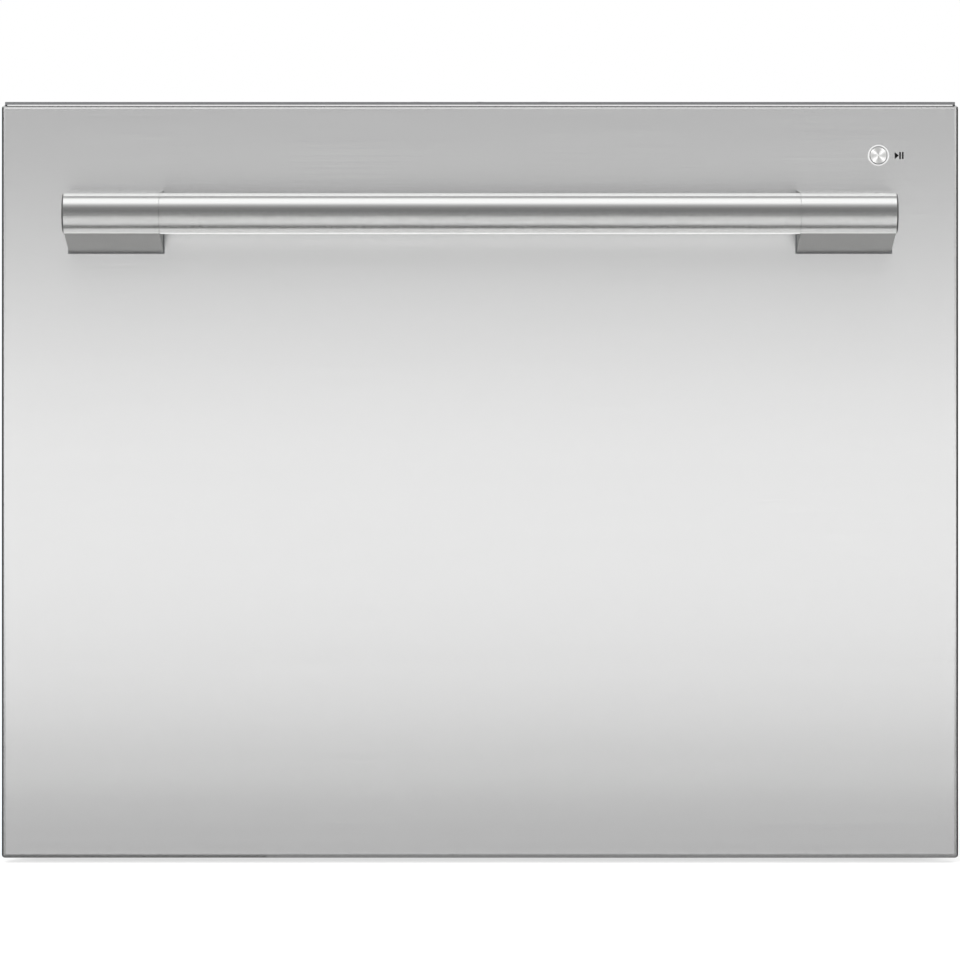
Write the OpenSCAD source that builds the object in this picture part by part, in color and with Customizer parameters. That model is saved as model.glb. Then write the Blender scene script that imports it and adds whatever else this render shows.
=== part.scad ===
// Dishwasher drawer for a kitchen base unit. A tub with its basket, pump and spray arm rolls out of
// a sheet-metal chassis behind a stainless front with a bar handle.
// Z is up and the front faces -Y. The origin is on the floor, under the middle of the whole part.

/* [Front] */
// Width of the front
front_w = 599; // [560:1:640]
// Height of the steel panel
panel_h = 471.4; // [440:0.2:520]
// Height of the panel's lower edge above the floor
front_lift = 3; // [1:0.5:10]
// Thickness of the steel skin
skin_t = 1; // [0.8:0.1:1.5]
// Depth of the skin's folded edges
skin_depth = 20; // [16:1:30]
// Radius of the skin's folds
fold_r = 2.8; // [1.6:0.2:4]
// Corner radius of the front seen head-on
corner_r = 2.4; // [1:0.2:4]
// Thickness of the moulded backing of the front
backing_t = 3; // [2:0.5:5]
// Overlap of the backing into the folded edges
backing_lap = 1; // [0.5:0.5:3]
// Height of the dark top strip above the steel
strip_rise = 2; // [1:0.5:5]
// Inset of the top strip from each side
strip_inset = 2; // [0:0.5:6]

/* [Handle] */
// Diameter of the handle bar
bar_d = 25.4; // [18:0.1:32]
// Wall of the handle bar
bar_wall = 1.6; // [1.2:0.1:3]
// Distance from the side of the front to the handle's outer end
handle_inset = 41.3; // [20:0.1:90]
// Length of each end piece
end_len = 60; // [40:1:70]
// Bevel on the outer end of each end piece
end_bevel = 1; // [0.5:0.1:2]
// Distance from the panel to the bar's axis
bar_reach = 42; // [34:1:60]
// Distance of the bar's axis below the panel's top edge
bar_drop = 69.8; // [40:0.2:120]
// Height of an end piece's foot on the panel
foot_h = 39; // [32:1:60]
// Distance of the foot's lower edge below the bar's axis
foot_drop = 22.6; // [18:0.2:30]
// Length of the spigot of an end piece inside the bar
spigot_len = 20; // [10:1:40]
// Radius of the handle screws
handle_screw_r = 2.5; // [2:0.5:3]
// Distance between an end piece's two screws
handle_screw_pitch = 36; // [24:1:44]
// Depth of the handle screws in an end piece
handle_screw_depth = 12; // [8:1:20]

/* [Start button] */
// Distance of the start button from the side of the front
button_inset = 50.1; // [20:0.1:120]
// Distance of the start button below the panel's top edge
button_drop = 31.6; // [18:0.2:34]
// Diameter of the button cap
button_d = 10.6; // [8:0.1:16]
// Outer diameter of the bright ring
bezel_d = 13.5; // [11:0.1:20]
// How far the ring stands proud of the steel
bezel_rise = 0.6; // [0.3:0.1:2]
// How far the cap stands proud of the ring
button_rise = 0.3; // [0.1:0.1:1.5]
// Travel of the start button
button_travel = 1; // [0.5:0.1:2]
// Height of the printed start and pause symbol
symbol_h = 4.4; // [3:0.2:8]
// Gap from the ring to the symbol
symbol_gap = 3.4; // [2:0.2:10]

/* [Top strip buttons] */
// Diameter of a strip button
strip_button_d = 9; // [7:0.5:12]
// Distance between strip buttons
strip_button_pitch = 40; // [20:1:80]
// How far a strip button stands proud
strip_button_rise = 0.5; // [0.2:0.1:1]
// Travel of a strip button
strip_button_travel = 0.8; // [0.4:0.1:1.5]

/* [Chassis] */
// Distance of each side of the chassis inside the side of the front
chassis_inset = 2; // [0:0.5:10]
// Depth from the steel panel to the chassis back
body_depth = 573; // [540:1:620]
// Distance of the chassis top below the top of the steel panel
chassis_drop = 0.4; // [0:0.1:10]
// Height of the chassis bottom above the floor
pan_z = 14; // [12:1:30]
// Thickness of the chassis sheets
sheet_t = 1; // [0.6:0.1:1.5]
// Height of the folded rim of the base pan
pan_rim_h = 20; // [10:1:30]
// Gap between the front's back and the chassis
front_gap = 5; // [4:0.5:8]
// Thickness of the moulded frame around the mouth
frame_t = 2; // [1.5:0.5:4]
// Width of the side bars of that frame
frame_side_w = 12.5; // [10:0.5:14]
// Width of its top bar
frame_top_w = 11; // [8:0.5:14]
// Width of its bottom bar
frame_bottom_w = 10; // [8:0.5:14]
// Width of the rubber profile on the frame
gasket_w = 6; // [4:0.5:8]

/* [Runners] */
// Height of a runner's outer member
runner_h = 45; // [40:1:60]
// Height of the runners' centre line above the floor
runner_z = 172.5; // [150:0.5:220]
// Space behind the outer and middle members
runner_end_gap = 11; // [5:1:40]
// Length of the inner member
runner_inner_len = 480; // [440:1:490]
// Thickness of the runner steel
runner_t = 1.5; // [1.2:0.1:2]
// Diameter of the runner balls' track
ball_d = 2.8; // [2.2:0.1:3.2]

/* [Tub] */
// Space for the runners between tub and chassis on each side
side_space = 20.5; // [20.5:0.5:30]
// Space for the hoses behind the tub
hose_space = 66; // [66:1:110]
// Height of the tub's underside above the floor
tub_z = 82; // [78:1:90]
// Distance of the tub's rim below the chassis top
rim_drop = 49; // [47:1:70]
// Wall of the tub
tub_wall = 4; // [3:0.5:6]
// Outer corner radius of the tub
tub_r = 35; // [20:1:60]
// Width of the lip around the rim
lip_w = 3; // [2:0.5:4]
// Height of that lip
lip_h = 4; // [3:0.5:8]
// Depth of the mounting pads between tub and front
tub_pad = 14; // [10:1:20]
// Inner radius of the sump
sump_r = 125; // [110:1:140]
// Depth of the sump below the tub floor
sump_depth = 20; // [16:1:20]

/* [Wash system] */
// Gap between the spray arm's tip and the tub's nearest wall
spray_gap = 16; // [8:1:40]
// Height of the spray arm's hollow body
spray_h = 12; // [10:1:14]
// Outer radius of the post that the spray arm turns on
post_r = 11; // [9:0.5:14]
// Radius of the motor housing
motor_r = 62; // [50:1:68]
// Height of the motor housing
motor_h = 32; // [24:1:34]
// Radius of the pump rotor
rotor_r = 30; // [20:1:40]
// Number of rotor blades
rotor_blades = 6; // [4:1:9]
// Radius of the drain filter
filter_r = 30; // [24:1:34]
// Distance of the drain filter from the middle
filter_offset = 80; // [70:1:84]
// Thickness of the filter plate
filter_t = 2.5; // [2:0.5:3]

/* [Basket] */
// Gap between the basket and the tub's side walls
basket_side_gap = 14; // [10:1:30]
// Gap between the basket and the tub's front and back walls
basket_end_gap = 13; // [10:1:30]
// Height of the basket floor's wires above the tub floor
basket_gap = 31; // [28:1:36]
// Height of the basket walls
basket_h = 116; // [90:1:140]
// Diameter of the basket's thin wires
wire_d = 4; // [3:0.5:5]
// Diameter of its rim wires
rim_wire_d = 5; // [4:0.5:7]
// Wire spaces across the basket
wires_x = 10; // [8:1:16]
// Wire spaces from front to back
wires_y = 6; // [4:1:12]
// Height of the tines
tine_h = 78; // [60:1:95]
// Distance between tines
tine_pitch = 30; // [22:1:40]
// Diameter of a tine
tine_d = 3.6; // [3:0.2:4]
// Length of a cup rack
cup_rack_len = 250; // [160:1:300]
// Width of a cup rack
cup_rack_w = 92; // [60:1:100]

/* [Dispenser] */
// Width of the detergent dispenser
dispenser_w = 150; // [140:1:200]
// Height of the detergent dispenser
dispenser_h = 92; // [80:1:110]
// Thickness of the dispenser inside the tub
dispenser_t = 16; // [14:1:20]
// Distance of the dispenser's left edge from the middle
dispenser_x = 40; // [0:1:60]
// Distance of the dispenser's lower edge below the rim
dispenser_drop = 125; // [115:1:140]
// Width of the detergent cup
cup_w = 62; // [50:1:70]
// Height of the detergent cup
cup_h = 58; // [44:1:64]
// Radius of the rinse-aid cap
cap_r = 18; // [14:1:22]

/* [Lid] */
// Height of the lid
lid_h = 22; // [16:1:26]
// Gap between the raised seal and the rim
lid_gap = 6.3; // [4:0.1:10]
// Travel of the lid
lid_travel = 6; // [3:0.1:9]
// Height of the lid's rubber seal
seal_h = 6; // [4:0.5:8]
// Radius of a lift rod
rod_r = 3; // [2:0.5:4]

/* [Feet] */
// Radius of a levelling foot
foot_r = 18; // [14:1:24]
// Thickness of its pad
foot_t = 8; // [5:1:10]
// Radius of its threaded stem
stem_r = 5; // [4:0.5:6]

/* [Connections] */
// Radius of the water inlet's thread
inlet_r = 13.2; // [10:0.1:14]
// Radius of the drain outlet
drain_r = 9.5; // [8:0.5:12]
// Radius of the hole for the mains cable
cable_r = 4; // [3:0.5:6]
// Length of the inlet and drain spigots
spigot_out = 26; // [16:1:34]
// Radius of the side fixing holes
fixing_r = 2.25; // [1.5:0.25:3]
// Distance of the fixing holes from the top and bottom of a side
fixing_inset = 50; // [46:1:80]

/* [Fits] */
// Running clearance of shafts in bores
run_gap = 0.1; // [0.05:0.05:0.1]
// Clearance around buttons
button_gap = 0.3; // [0.2:0.05:0.5]
// Clearance between fixed pieces that fit together
fit_gap = 0.2; // [0.1:0.05:0.4]
// Clearance of rubber from what it faces
rubber_gap = 0.4; // [0.3:0.1:1]

/* [Hidden] */

$fn = 48;
// Cuts run this far past the faces that they open
over = 1;
// Sides of a thin wire
wire_sides = 6;

// Sizes that follow from the ones above
chassis_w = front_w - 2 * chassis_inset;
bar_len = front_w - 2 * (handle_inset + end_len);
button_x = front_w / 2 - button_inset;
tub_w = chassis_w - 2 * sheet_t - 2 * side_space;
tub_d = body_depth - skin_depth - backing_t + backing_lap - tub_pad - hose_space - sheet_t;
basket_w = tub_w - 2 * tub_wall - 2 * basket_side_gap;
basket_d = tub_d - 2 * tub_wall - 2 * basket_end_gap;
spray_r = tub_d / 2 - tub_wall - spray_gap;

// Places along Y, from the handle back
handle_out = bar_reach + bar_d / 2;
y_face = (handle_out - body_depth) / 2;
y_back = y_face + body_depth;
door_t = skin_depth + backing_t - backing_lap;
y_door = y_face + door_t;
y_frame = y_door + front_gap;
y_sheet = y_frame + frame_t;
y_tub = y_door + tub_pad;
y_tub_back = y_tub + tub_d;
y_mid = y_tub + tub_d / 2;
y_wall = y_tub + tub_wall;
y_inner_back = y_back - sheet_t;

// Places along X
half_chassis = chassis_w / 2;
x_sheet = half_chassis - sheet_t;
half_tub = tub_w / 2;

// Places along Z
panel_top = front_lift + panel_h;
strip_top = panel_top + strip_rise;
chassis_top_z = panel_top - chassis_drop;
rim_z = chassis_top_z - rim_drop;
button_z = panel_top - button_drop;
foot_z = panel_top - bar_drop - foot_drop;
dispenser_z = rim_z - dispenser_drop;
tub_floor = tub_z + tub_wall;
sump_floor = tub_floor - sump_depth;
sump_under = sump_floor - tub_wall;
axis_z = panel_top - bar_drop;
pan_top = pan_z + sheet_t;

// Runner section, counted inwards from the chassis side
runner_flange = 10;
runner_lip = 1.5;
race = ball_d + 2 * run_gap;
middle_t = 1.2;
runner_front_gap = 2;
web_gap = 0.6;
x_outer_web = x_sheet - runner_t;
x_middle_web = x_outer_web - web_gap;
middle_half_h = runner_h / 2 - runner_t - race;
inner_half_h = middle_half_h - middle_t - race;
middle_flange = 10.3;
inner_flange = 7.5;
x_inner_web = x_middle_web - middle_t - web_gap - inner_flange;
y_runner = y_sheet + runner_front_gap;
runner_len = y_inner_back - y_runner - runner_end_gap;
notch_gap = 4;
rail_half_h = inner_half_h;

// Lid and its lift
seal_bottom = rim_z + lid_gap;
lid_z = seal_bottom + seal_h;
lid_top = lid_z + lid_h;
lid_plate_t = 4;
lid_wall = 4;
link_t = 3;
link_w = 30;
lift_w = 60;
lift_under = 52;
lift_gap = 3.3;
x_lift = half_tub + lip_w + 2;
x_rod = (x_lift + x_sheet) / 2;
y_lift = y_mid;

// Basket levels and the rows that fold
wire_z = tub_floor + basket_gap;
basket_floor_top = wire_z + rim_wire_d / 2;
thin_wire_top = wire_z + wire_d / 2 * cos(180 / wire_sides);
basket_top = basket_floor_top + basket_h;
half_basket = basket_w / 2;
y_basket = y_mid - basket_d / 2;
pivot_r = 2;
pivot_lift = 0.8;
pivot_z = basket_floor_top + pivot_lift + pivot_r;
row_setback = 60;
row_pitch = 90;
fold_pitch = 100;
row_end = 6;
row_inset = 38;
fixed_inset = 24;
fixed_tines = 7;
fixed_x = fixed_inset - half_basket;
fixed_end = fixed_x + (fixed_tines - 1) * tine_pitch + row_end;
row_room = half_basket - row_inset - fixed_end - row_end;
row_tines = 1 + floor(row_room / tine_pitch);
row_x = half_basket - row_inset - (row_tines - 1) * tine_pitch;
row_y_front = y_mid - row_setback;
row_y_rear = row_y_front + fold_pitch;
clip_w = 8;
clip_t = 3;
cup_lift = 9;
cup_inset = 9;
cup_z = basket_top + cup_lift;
x_cup = half_basket - cup_inset;

// Back connections
box_side_gap = 9.5;
box_lift = 8;
box_x = box_side_gap - half_chassis;
box_w = 196;
box_d = 44;
box_z = pan_z + box_lift;
box_h = 62;
box_t = 1.5;
y_box = y_inner_back - box_d;
port_z = box_z + box_h / 2;
inlet_x = box_x + 36;
drain_x = box_x + 102;
cable_x = box_x + 162;
// Ports pass the box with a thicker neck, so that the spigots start outside its sheet
neck_out = 2;
neck_wall = 2;
y_neck = y_box + box_t + neck_out;
y_port = y_box + box_t + spigot_out;

// Screws
screw_head_r = 4;

module slab(x0, x1, y0, y1, z0, z1) {
  translate([x0, y0, z0])
    cube([x1 - x0, y1 - y0, z1 - z0]);
}

module rod_x(x0, x1, y, z, r) {
  translate([x0, y, z])
    rotate([0, 90, 0])
      cylinder(r = r, h = x1 - x0);
}

module rod_y(x, y0, y1, z, r) {
  translate([x, y0, z])
    rotate([-90, 0, 0])
      cylinder(r = r, h = y1 - y0);
}

module rod_z(x, y, z0, z1, r) {
  translate([x, y, z0])
    cylinder(r = r, h = z1 - z0);
}

// Six-sided wires, so that a welded grid stays light
module wire_x(x0, x1, y, z, d) {
  translate([x0, y, z])
    rotate([0, 90, 0])
      cylinder(d = d, h = x1 - x0, $fn = wire_sides);
}

module wire_y(x, y0, y1, z, d) {
  translate([x, y0, z])
    rotate([-90, 0, 0])
      cylinder(d = d, h = y1 - y0, $fn = wire_sides);
}

module wire_z(x, y, z0, z1, d) {
  translate([x, y, z0])
    cylinder(d = d, h = z1 - z0, $fn = wire_sides);
}

// Rectangle with round corners, from its lower left corner
module round_rect(w, h, r) {
  translate([r, 0])
    square([w - 2 * r, h]);
  translate([0, r])
    square([w, h - 2 * r]);
  for (x = [r, w - r])
    for (y = [r, h - r])
      translate([x, y])
        circle(r = r);
}

// Upright block with round corners, grown by "grow" around the tub's outline
module tub_block(grow, z0, z1) {
  translate([-half_tub - grow, y_tub - grow, z0])
    linear_extrude(z1 - z0)
      round_rect(tub_w + 2 * grow, tub_d + 2 * grow, tub_r + grow);
}

module mirrored(side) {
  if (side > 0)
    children();
  else
    mirror([1, 0, 0])
      children();
}

module both_sides() {
  for (side = [-1, 1])
    mirrored(side)
      children();
}

// ---------- Chassis ----------

fixing_setback = 14;
fixing_y = y_sheet + fixing_setback;
fixing_zs = [pan_z + fixing_inset, chassis_top_z - fixing_inset];
doubler_w = 20;
doubler_t = 1.5;
doubler_h = 56;
vents = 4;
vent_len = 60;
vent_h = 4;
vent_pitch = 3 * vent_h;
side_vent_inset = 40;
side_vent_z = 260;
back_vent_x = 120;
back_vent_z = 60;

module chassis_side(side) {
  color("silver")
    mirrored(side)
      difference() {
        union() {
          slab(x_sheet, half_chassis, y_sheet, y_back, pan_z, chassis_top_z);
          for (z = fixing_zs)
            slab(x_sheet - doubler_t, x_sheet + sheet_t / 2, fixing_y - doubler_w / 2, fixing_y + doubler_w / 2,
                 z - doubler_h / 2, z + doubler_h / 2);
        }
        for (z = fixing_zs)
          rod_x(x_sheet - doubler_t - over, half_chassis + over, fixing_y, z, fixing_r);
        for (i = [0 : vents - 1])
          slab(x_sheet - over, half_chassis + over, y_back - side_vent_inset - vent_len, y_back - side_vent_inset,
               side_vent_z + i * vent_pitch, side_vent_z + i * vent_pitch + vent_h);
      }
}

module chassis_side_left() chassis_side(-1);

module chassis_side_right() chassis_side(1);

top_rim_h = 12;

module chassis_top() {
  color("silver") {
    slab(-x_sheet, x_sheet, y_sheet, y_inner_back, chassis_top_z - sheet_t, chassis_top_z);
    both_sides()
      slab(x_sheet - sheet_t, x_sheet, y_sheet + sheet_t, y_inner_back,
           chassis_top_z - top_rim_h, chassis_top_z - sheet_t);
  }
}

foot_side_inset = 42.5;
foot_front_inset = 40;
foot_rear_inset = 75;
foot_x = half_chassis - foot_side_inset;
foot_y_front = y_sheet + foot_front_inset;
foot_y_rear = y_back - foot_rear_inset;
boss_wall = 4;
boss_r = stem_r + boss_wall;
boss_h = 12;

module at_feet() {
  for (x = [-foot_x, foot_x])
    for (y = [foot_y_front, foot_y_rear])
      translate([x, y, 0])
        children();
}

module base_pan() {
  color("silver")
    difference() {
      union() {
        slab(-x_sheet, x_sheet, y_sheet, y_inner_back, pan_z, pan_top);
        both_sides()
          slab(x_sheet - sheet_t, x_sheet, y_sheet, y_inner_back, pan_z, pan_z + pan_rim_h);
        slab(-x_sheet, x_sheet, y_sheet, y_sheet + sheet_t, pan_z, pan_z + frame_bottom_w);
        at_feet()
          rod_z(0, 0, pan_z, pan_top + boss_h, boss_r);
      }
      at_feet()
        rod_z(0, 0, pan_z - over, pan_top + boss_h + over, stem_r + run_gap);
    }
}

module back_panel() {
  color("silver")
    difference() {
      slab(-x_sheet, x_sheet, y_inner_back, y_back, pan_z, chassis_top_z);
      slab(box_x + box_t, box_x + box_w - box_t, y_inner_back - over, y_back + over,
           box_z + box_t, box_z + box_h - box_t);
      for (i = [0 : vents - 1])
        slab(back_vent_x, back_vent_x + 2 * vent_len, y_inner_back - over, y_back + over,
             back_vent_z + i * vent_pitch, back_vent_z + i * vent_pitch + vent_h);
    }
}

frame_strip = 2.3;

module front_frame() {
  color("dimgray")
    difference() {
      slab(-half_chassis, half_chassis, y_frame, y_sheet, pan_z, chassis_top_z);
      slab(-half_chassis + frame_side_w, half_chassis - frame_side_w, y_frame - over, y_sheet + over,
           pan_z + frame_bottom_w, chassis_top_z - frame_top_w);
      both_sides()
        slab(half_chassis - frame_side_w - over, half_chassis - frame_strip, y_frame - over,
             y_sheet + over, runner_z - runner_h / 2 - notch_gap, runner_z + runner_h / 2 + notch_gap);
    }
}

gasket_inset = 2;
gasket_h = front_gap - rubber_gap;

module front_gasket() {
  color("black")
    difference() {
      slab(-half_chassis + gasket_inset, half_chassis - gasket_inset, y_frame - gasket_h, y_frame,
           pan_z + gasket_inset, chassis_top_z - gasket_inset);
      slab(-half_chassis + gasket_inset + gasket_w, half_chassis - gasket_inset - gasket_w,
           y_frame - gasket_h - over, y_frame + over,
           pan_z + gasket_inset + gasket_w, chassis_top_z - gasket_inset - gasket_w);
      slab(-half_chassis, half_chassis, y_frame - gasket_h - over, y_frame + over,
           runner_z - runner_h / 2 - notch_gap, runner_z + runner_h / 2 + notch_gap);
    }
}

// ---------- Runners ----------

module channel(x_web, web_t, flange, wall, half_h, lip, y0, len) {
  slab(x_web, x_web + web_t, y0, y0 + len, runner_z - half_h, runner_z + half_h);
  for (s = [-1, 1]) {
    z_out = runner_z + s * half_h;
    z_in = z_out - s * wall;
    slab(min(x_web, x_web + web_t - flange), x_web + web_t, y0, y0 + len, min(z_out, z_in), max(z_out, z_in));
    if (lip > 0)
      slab(x_web + web_t - flange, x_web + web_t - flange + wall, y0, y0 + len,
           min(z_in, z_in - s * lip), max(z_in, z_in - s * lip));
  }
}

module runner_outer(side) {
  color("lightgray")
    mirrored(side)
      channel(x_outer_web, runner_t, runner_flange, runner_t, runner_h / 2, runner_lip, y_runner, runner_len);
}

module runner_middle(side) {
  color("gainsboro")
    mirrored(side)
      channel(x_middle_web - middle_t, middle_t, middle_flange, middle_t, middle_half_h, 0,
              y_runner, runner_len);
}

rail_setback = 2;
y_inner_rail = y_tub + rail_setback;

module runner_inner(side) {
  color("gainsboro")
    mirrored(side) {
      slab(x_inner_web, x_inner_web + middle_t, y_inner_rail, y_inner_rail + runner_inner_len,
           runner_z - inner_half_h, runner_z + inner_half_h);
      for (s = [-1, 1]) {
        z_out = runner_z + s * inner_half_h;
        z_in = z_out - s * middle_t;
        slab(x_inner_web, x_inner_web + inner_flange, y_inner_rail, y_inner_rail + runner_inner_len,
             min(z_out, z_in), max(z_out, z_in));
      }
    }
}

module runner_outer_left() runner_outer(-1);

module runner_outer_right() runner_outer(1);

module runner_middle_left() runner_middle(-1);

module runner_middle_right() runner_middle(1);

module runner_inner_left() runner_inner(-1);

module runner_inner_right() runner_inner(1);

// ---------- Lid and lift ----------

lift_top = lid_top - lid_travel - lift_gap;
lift_bottom = lift_top - lift_under;
rod_seat = 10;
rod_bottom = lift_bottom + rod_seat;
motor_can_r = 6.5;
motor_can_lift = 12;

module lid_actuators() {
  color("dimgray")
    both_sides()
      difference() {
        union() {
          slab(x_lift, x_sheet, y_lift - lift_w / 2, y_lift + lift_w / 2, lift_bottom, lift_top);
          rod_y(x_sheet - motor_can_r - over, y_lift + lift_w / 2, y_lift + lift_w,
                lift_bottom + motor_can_lift, motor_can_r);
        }
        rod_z(x_rod, y_lift, rod_bottom - lid_travel - over, lift_top + over, rod_r + run_gap);
      }
}

lid_rib_t = 3;
lid_rib_drop = 6;
lid_rib_pitch_x = 90;
lid_rib_pitch_y = 110;

module lid_panel() {
  color("gainsboro")
    difference() {
      tub_block(lip_w, lid_z, lid_top);
      difference() {
        tub_block(lip_w - lid_wall, lid_z + lid_plate_t, lid_top + over);
        for (i = [-2 : 2])
          slab(i * lid_rib_pitch_x - lid_rib_t / 2, i * lid_rib_pitch_x + lid_rib_t / 2, y_tub, y_tub_back,
               lid_z, lid_top - lid_rib_drop);
        for (i = [-1 : 1])
          slab(-half_tub, half_tub, y_mid + i * lid_rib_pitch_y - lid_rib_t / 2,
               y_mid + i * lid_rib_pitch_y + lid_rib_t / 2, lid_z, lid_top - lid_rib_drop);
      }
    }
}

seal_w = 6;

module lid_seal() {
  color("gray")
    difference() {
      tub_block((seal_w - tub_wall) / 2, seal_bottom, lid_z);
      tub_block((seal_w - tub_wall) / 2 - seal_w, seal_bottom - over, lid_z + over);
    }
}

link_lap = 18;
link_end = 1;
rod_lap = 0.5;

module lid_links() {
  color("silver")
    both_sides() {
      slab(half_tub + lip_w - lid_wall - link_lap, x_rod + rod_r + link_end, y_lift - link_w / 2, y_lift + link_w / 2,
           lid_top, lid_top + link_t);
      rod_z(x_rod, y_lift, rod_bottom, lid_top + rod_lap, rod_r);
    }
}

// ---------- Back connections ----------

module service_box() {
  color("dimgray")
    difference() {
      slab(box_x, box_x + box_w, y_box, y_inner_back, box_z, box_z + box_h);
      slab(box_x + box_t, box_x + box_w - box_t, y_box + box_t, y_inner_back + over,
           box_z + box_t, box_z + box_h - box_t);
      rod_y(inlet_x, y_box - over, y_box + box_t + over, port_z, inlet_r + neck_wall + fit_gap);
      rod_y(drain_x, y_box - over, y_box + box_t + over, port_z, drain_r + neck_wall + fit_gap);
      rod_y(cable_x, y_box - over, y_box + box_t + over, port_z, cable_r + gland_wall + fit_gap);
    }
}

valve_w = 36;
valve_d = 34;
valve_drop = 8;
valve_wall = 3.2;
hose_r = 7;
hose_r_step = 1;
hose_back_gap = 14;
hose_tub_gap = 17;
hose_y_fixed = y_inner_back - hose_back_gap;
hose_y_moving = y_tub_back + hose_tub_gap;

module inlet_valve() {
  color("white")
    difference() {
      union() {
        slab(inlet_x - valve_w / 2, inlet_x + valve_w / 2, y_box - valve_d, y_box,
             port_z - valve_w / 2, port_z + valve_w / 2 - valve_drop);
        rod_y(inlet_x, y_box - over, y_neck, port_z, inlet_r + neck_wall);
        rod_y(inlet_x, y_neck - over, y_port, port_z, inlet_r);
      }
      rod_y(inlet_x, y_box + box_t, y_port + over, port_z, inlet_r - valve_wall);
    }
}

drain_back = 22;
drain_flange_t = 6;
drain_flange_w = 5;
drain_wall = 2;

module drain_outlet() {
  color("gray")
    difference() {
      union() {
        rod_y(drain_x, y_box - drain_back, y_box - drain_flange_t + over, port_z, drain_r + hose_r_step);
        rod_y(drain_x, y_box - drain_flange_t, y_box, port_z, drain_r + drain_flange_w);
        rod_y(drain_x, y_box - over, y_neck, port_z, drain_r + neck_wall);
        rod_y(drain_x, y_neck - over, y_port, port_z, drain_r);
      }
      rod_y(drain_x, y_box - drain_back + drain_wall, y_port + over, port_z, drain_r - drain_wall);
    }
}

gland_len = 14;
gland_wall = 5;
gland_back = 10;
gland_nut_w = 3;

module cable_gland() {
  color("dimgray")
    difference() {
      union() {
        rod_y(cable_x, y_box - over, y_box + box_t + gland_len, port_z, cable_r + gland_wall);
        rod_y(cable_x, y_box - gland_back, y_box, port_z, cable_r + gland_wall + gland_nut_w);
      }
      rod_y(cable_x, y_box - gland_back - over, y_box + box_t + gland_len + over, port_z, cable_r);
    }
}

ctrl_x = 20;
ctrl_w = 120;
ctrl_h = 120;
ctrl_drop = 15;
ctrl_z = rim_z - ctrl_drop - ctrl_h;
ctrl_d = 40;
ctrl_wall = 2;

module controller_box() {
  color("dimgray")
    difference() {
      slab(ctrl_x, ctrl_x + ctrl_w, y_inner_back - ctrl_d, y_inner_back, ctrl_z, ctrl_z + ctrl_h);
      slab(ctrl_x + ctrl_wall, ctrl_x + ctrl_w - ctrl_wall, y_inner_back - ctrl_d + ctrl_wall,
           y_inner_back + over, ctrl_z + ctrl_wall, ctrl_z + ctrl_h - ctrl_wall);
    }
}

sensor_w = 30;
sensor_h = 22;
sensor_t = 3;
sensor_rim = 3;
sensor_x = 150;
sensor_y = y_mid + 120;

module flood_sensor() {
  color("white") {
    slab(sensor_x, sensor_x + sensor_w, sensor_y, sensor_y + sensor_w, pan_top, pan_top + sensor_t);
    rod_z(sensor_x + sensor_w / 2, sensor_y + sensor_w / 2, pan_top, pan_top + sensor_h, sensor_w / 2 - sensor_rim);
  }
}

runner_screw_inset = 40;
runner_screw_ys = [
  y_runner + runner_screw_inset, y_runner + runner_len / 2, y_runner + runner_len - runner_screw_inset
];
screw_head_out = 0.8;

module chassis_screws() {
  color("gray")
    both_sides()
      for (y = runner_screw_ys)
        rod_x(half_chassis, half_chassis + screw_head_out, y, runner_z, screw_head_r);
}

// Hoses loop up the back of the chassis, over, and down to the back of the tub.
// Each leg is a list of shares of its height, and the bend is a list of shares across.
hose_span = 100;
hose_drop = 75;
hose_low = box_z + box_h;
hose_top = rim_z - hose_drop;
tub_elbow_top = tub_z + 30;
leg_heights = [0, 0.135, 0.286, 0.436, 0.586, 0.718, 0.812, 0.902, 0.97, 1];
leg_across = [0, 0, 0, 0, 0, 0, 0.02, 0.1, 0.25, 0.5];
leg_n = len(leg_heights);
hose_route = [
  for (i = [0 : 2 * leg_n - 2])
    let (up = i < leg_n, k = up ? i : 2 * leg_n - 2 - i, low = up ? hose_low : tub_elbow_top)
    [up ? leg_across[k] : 1 - leg_across[k], low + leg_heights[k] * (hose_top - low)]
];
hose_sides = 10;

function hose_points(x0) = [
  for (p = hose_route)
    [x0 + p[0] * hose_span, hose_y_fixed + p[0] * (hose_y_moving - hose_y_fixed), p[1]]
];

function unit(v) = v / norm(v);

function route_dir(pts, i) =
  unit(pts[min(i + 1, len(pts) - 1)] - pts[max(i - 1, 0)]);

function ring(pts, i, r) =
  let (d = i == 0 || i == len(pts) - 1 ? [0, 0, i == 0 ? 1 : -1] : route_dir(pts, i),
       side = [0, 1, 0],
       u = unit(cross(side, d)),
       v = cross(d, u))
  [for (k = [0 : hose_sides - 1])
    pts[i] + r * (cos(k * 360 / hose_sides) * u + sin(k * 360 / hose_sides) * v)];

module hose(x0, r) {
  pts = hose_points(x0);
  n = len(pts);
  rings = [for (i = [0 : n - 1]) each ring(pts, i, r)];
  faces = concat(
    [[for (k = [hose_sides - 1 : -1 : 0]) k]],
    [for (i = [0 : n - 2])
      for (k = [0 : hose_sides - 1])
        let (a = i * hose_sides + k, b = i * hose_sides + (k + 1) % hose_sides)
        [a, b, b + hose_sides, a + hose_sides]],
    [[for (k = [0 : hose_sides - 1]) (n - 1) * hose_sides + k]]
  );
  polyhedron(points = rings, faces = faces);
}

module hoses() {
  color("darkgray") {
    hose(inlet_x, hose_r - hose_r_step);
    hose(drain_x, hose_r + hose_r_step);
    hose(cable_x, hose_r - 2 * hose_r_step);
  }
}

// ---------- Feet ----------

stem_len = 30;

module foot(sx, y) {
  color("dimgray")
    translate([sx * foot_x, y, 0]) {
      rod_z(0, 0, 0, foot_t, foot_r);
      rod_z(0, 0, foot_t - over, stem_len, stem_r);
    }
}

module foot_front_left() foot(-1, foot_y_front);

module foot_front_right() foot(1, foot_y_front);

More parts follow.
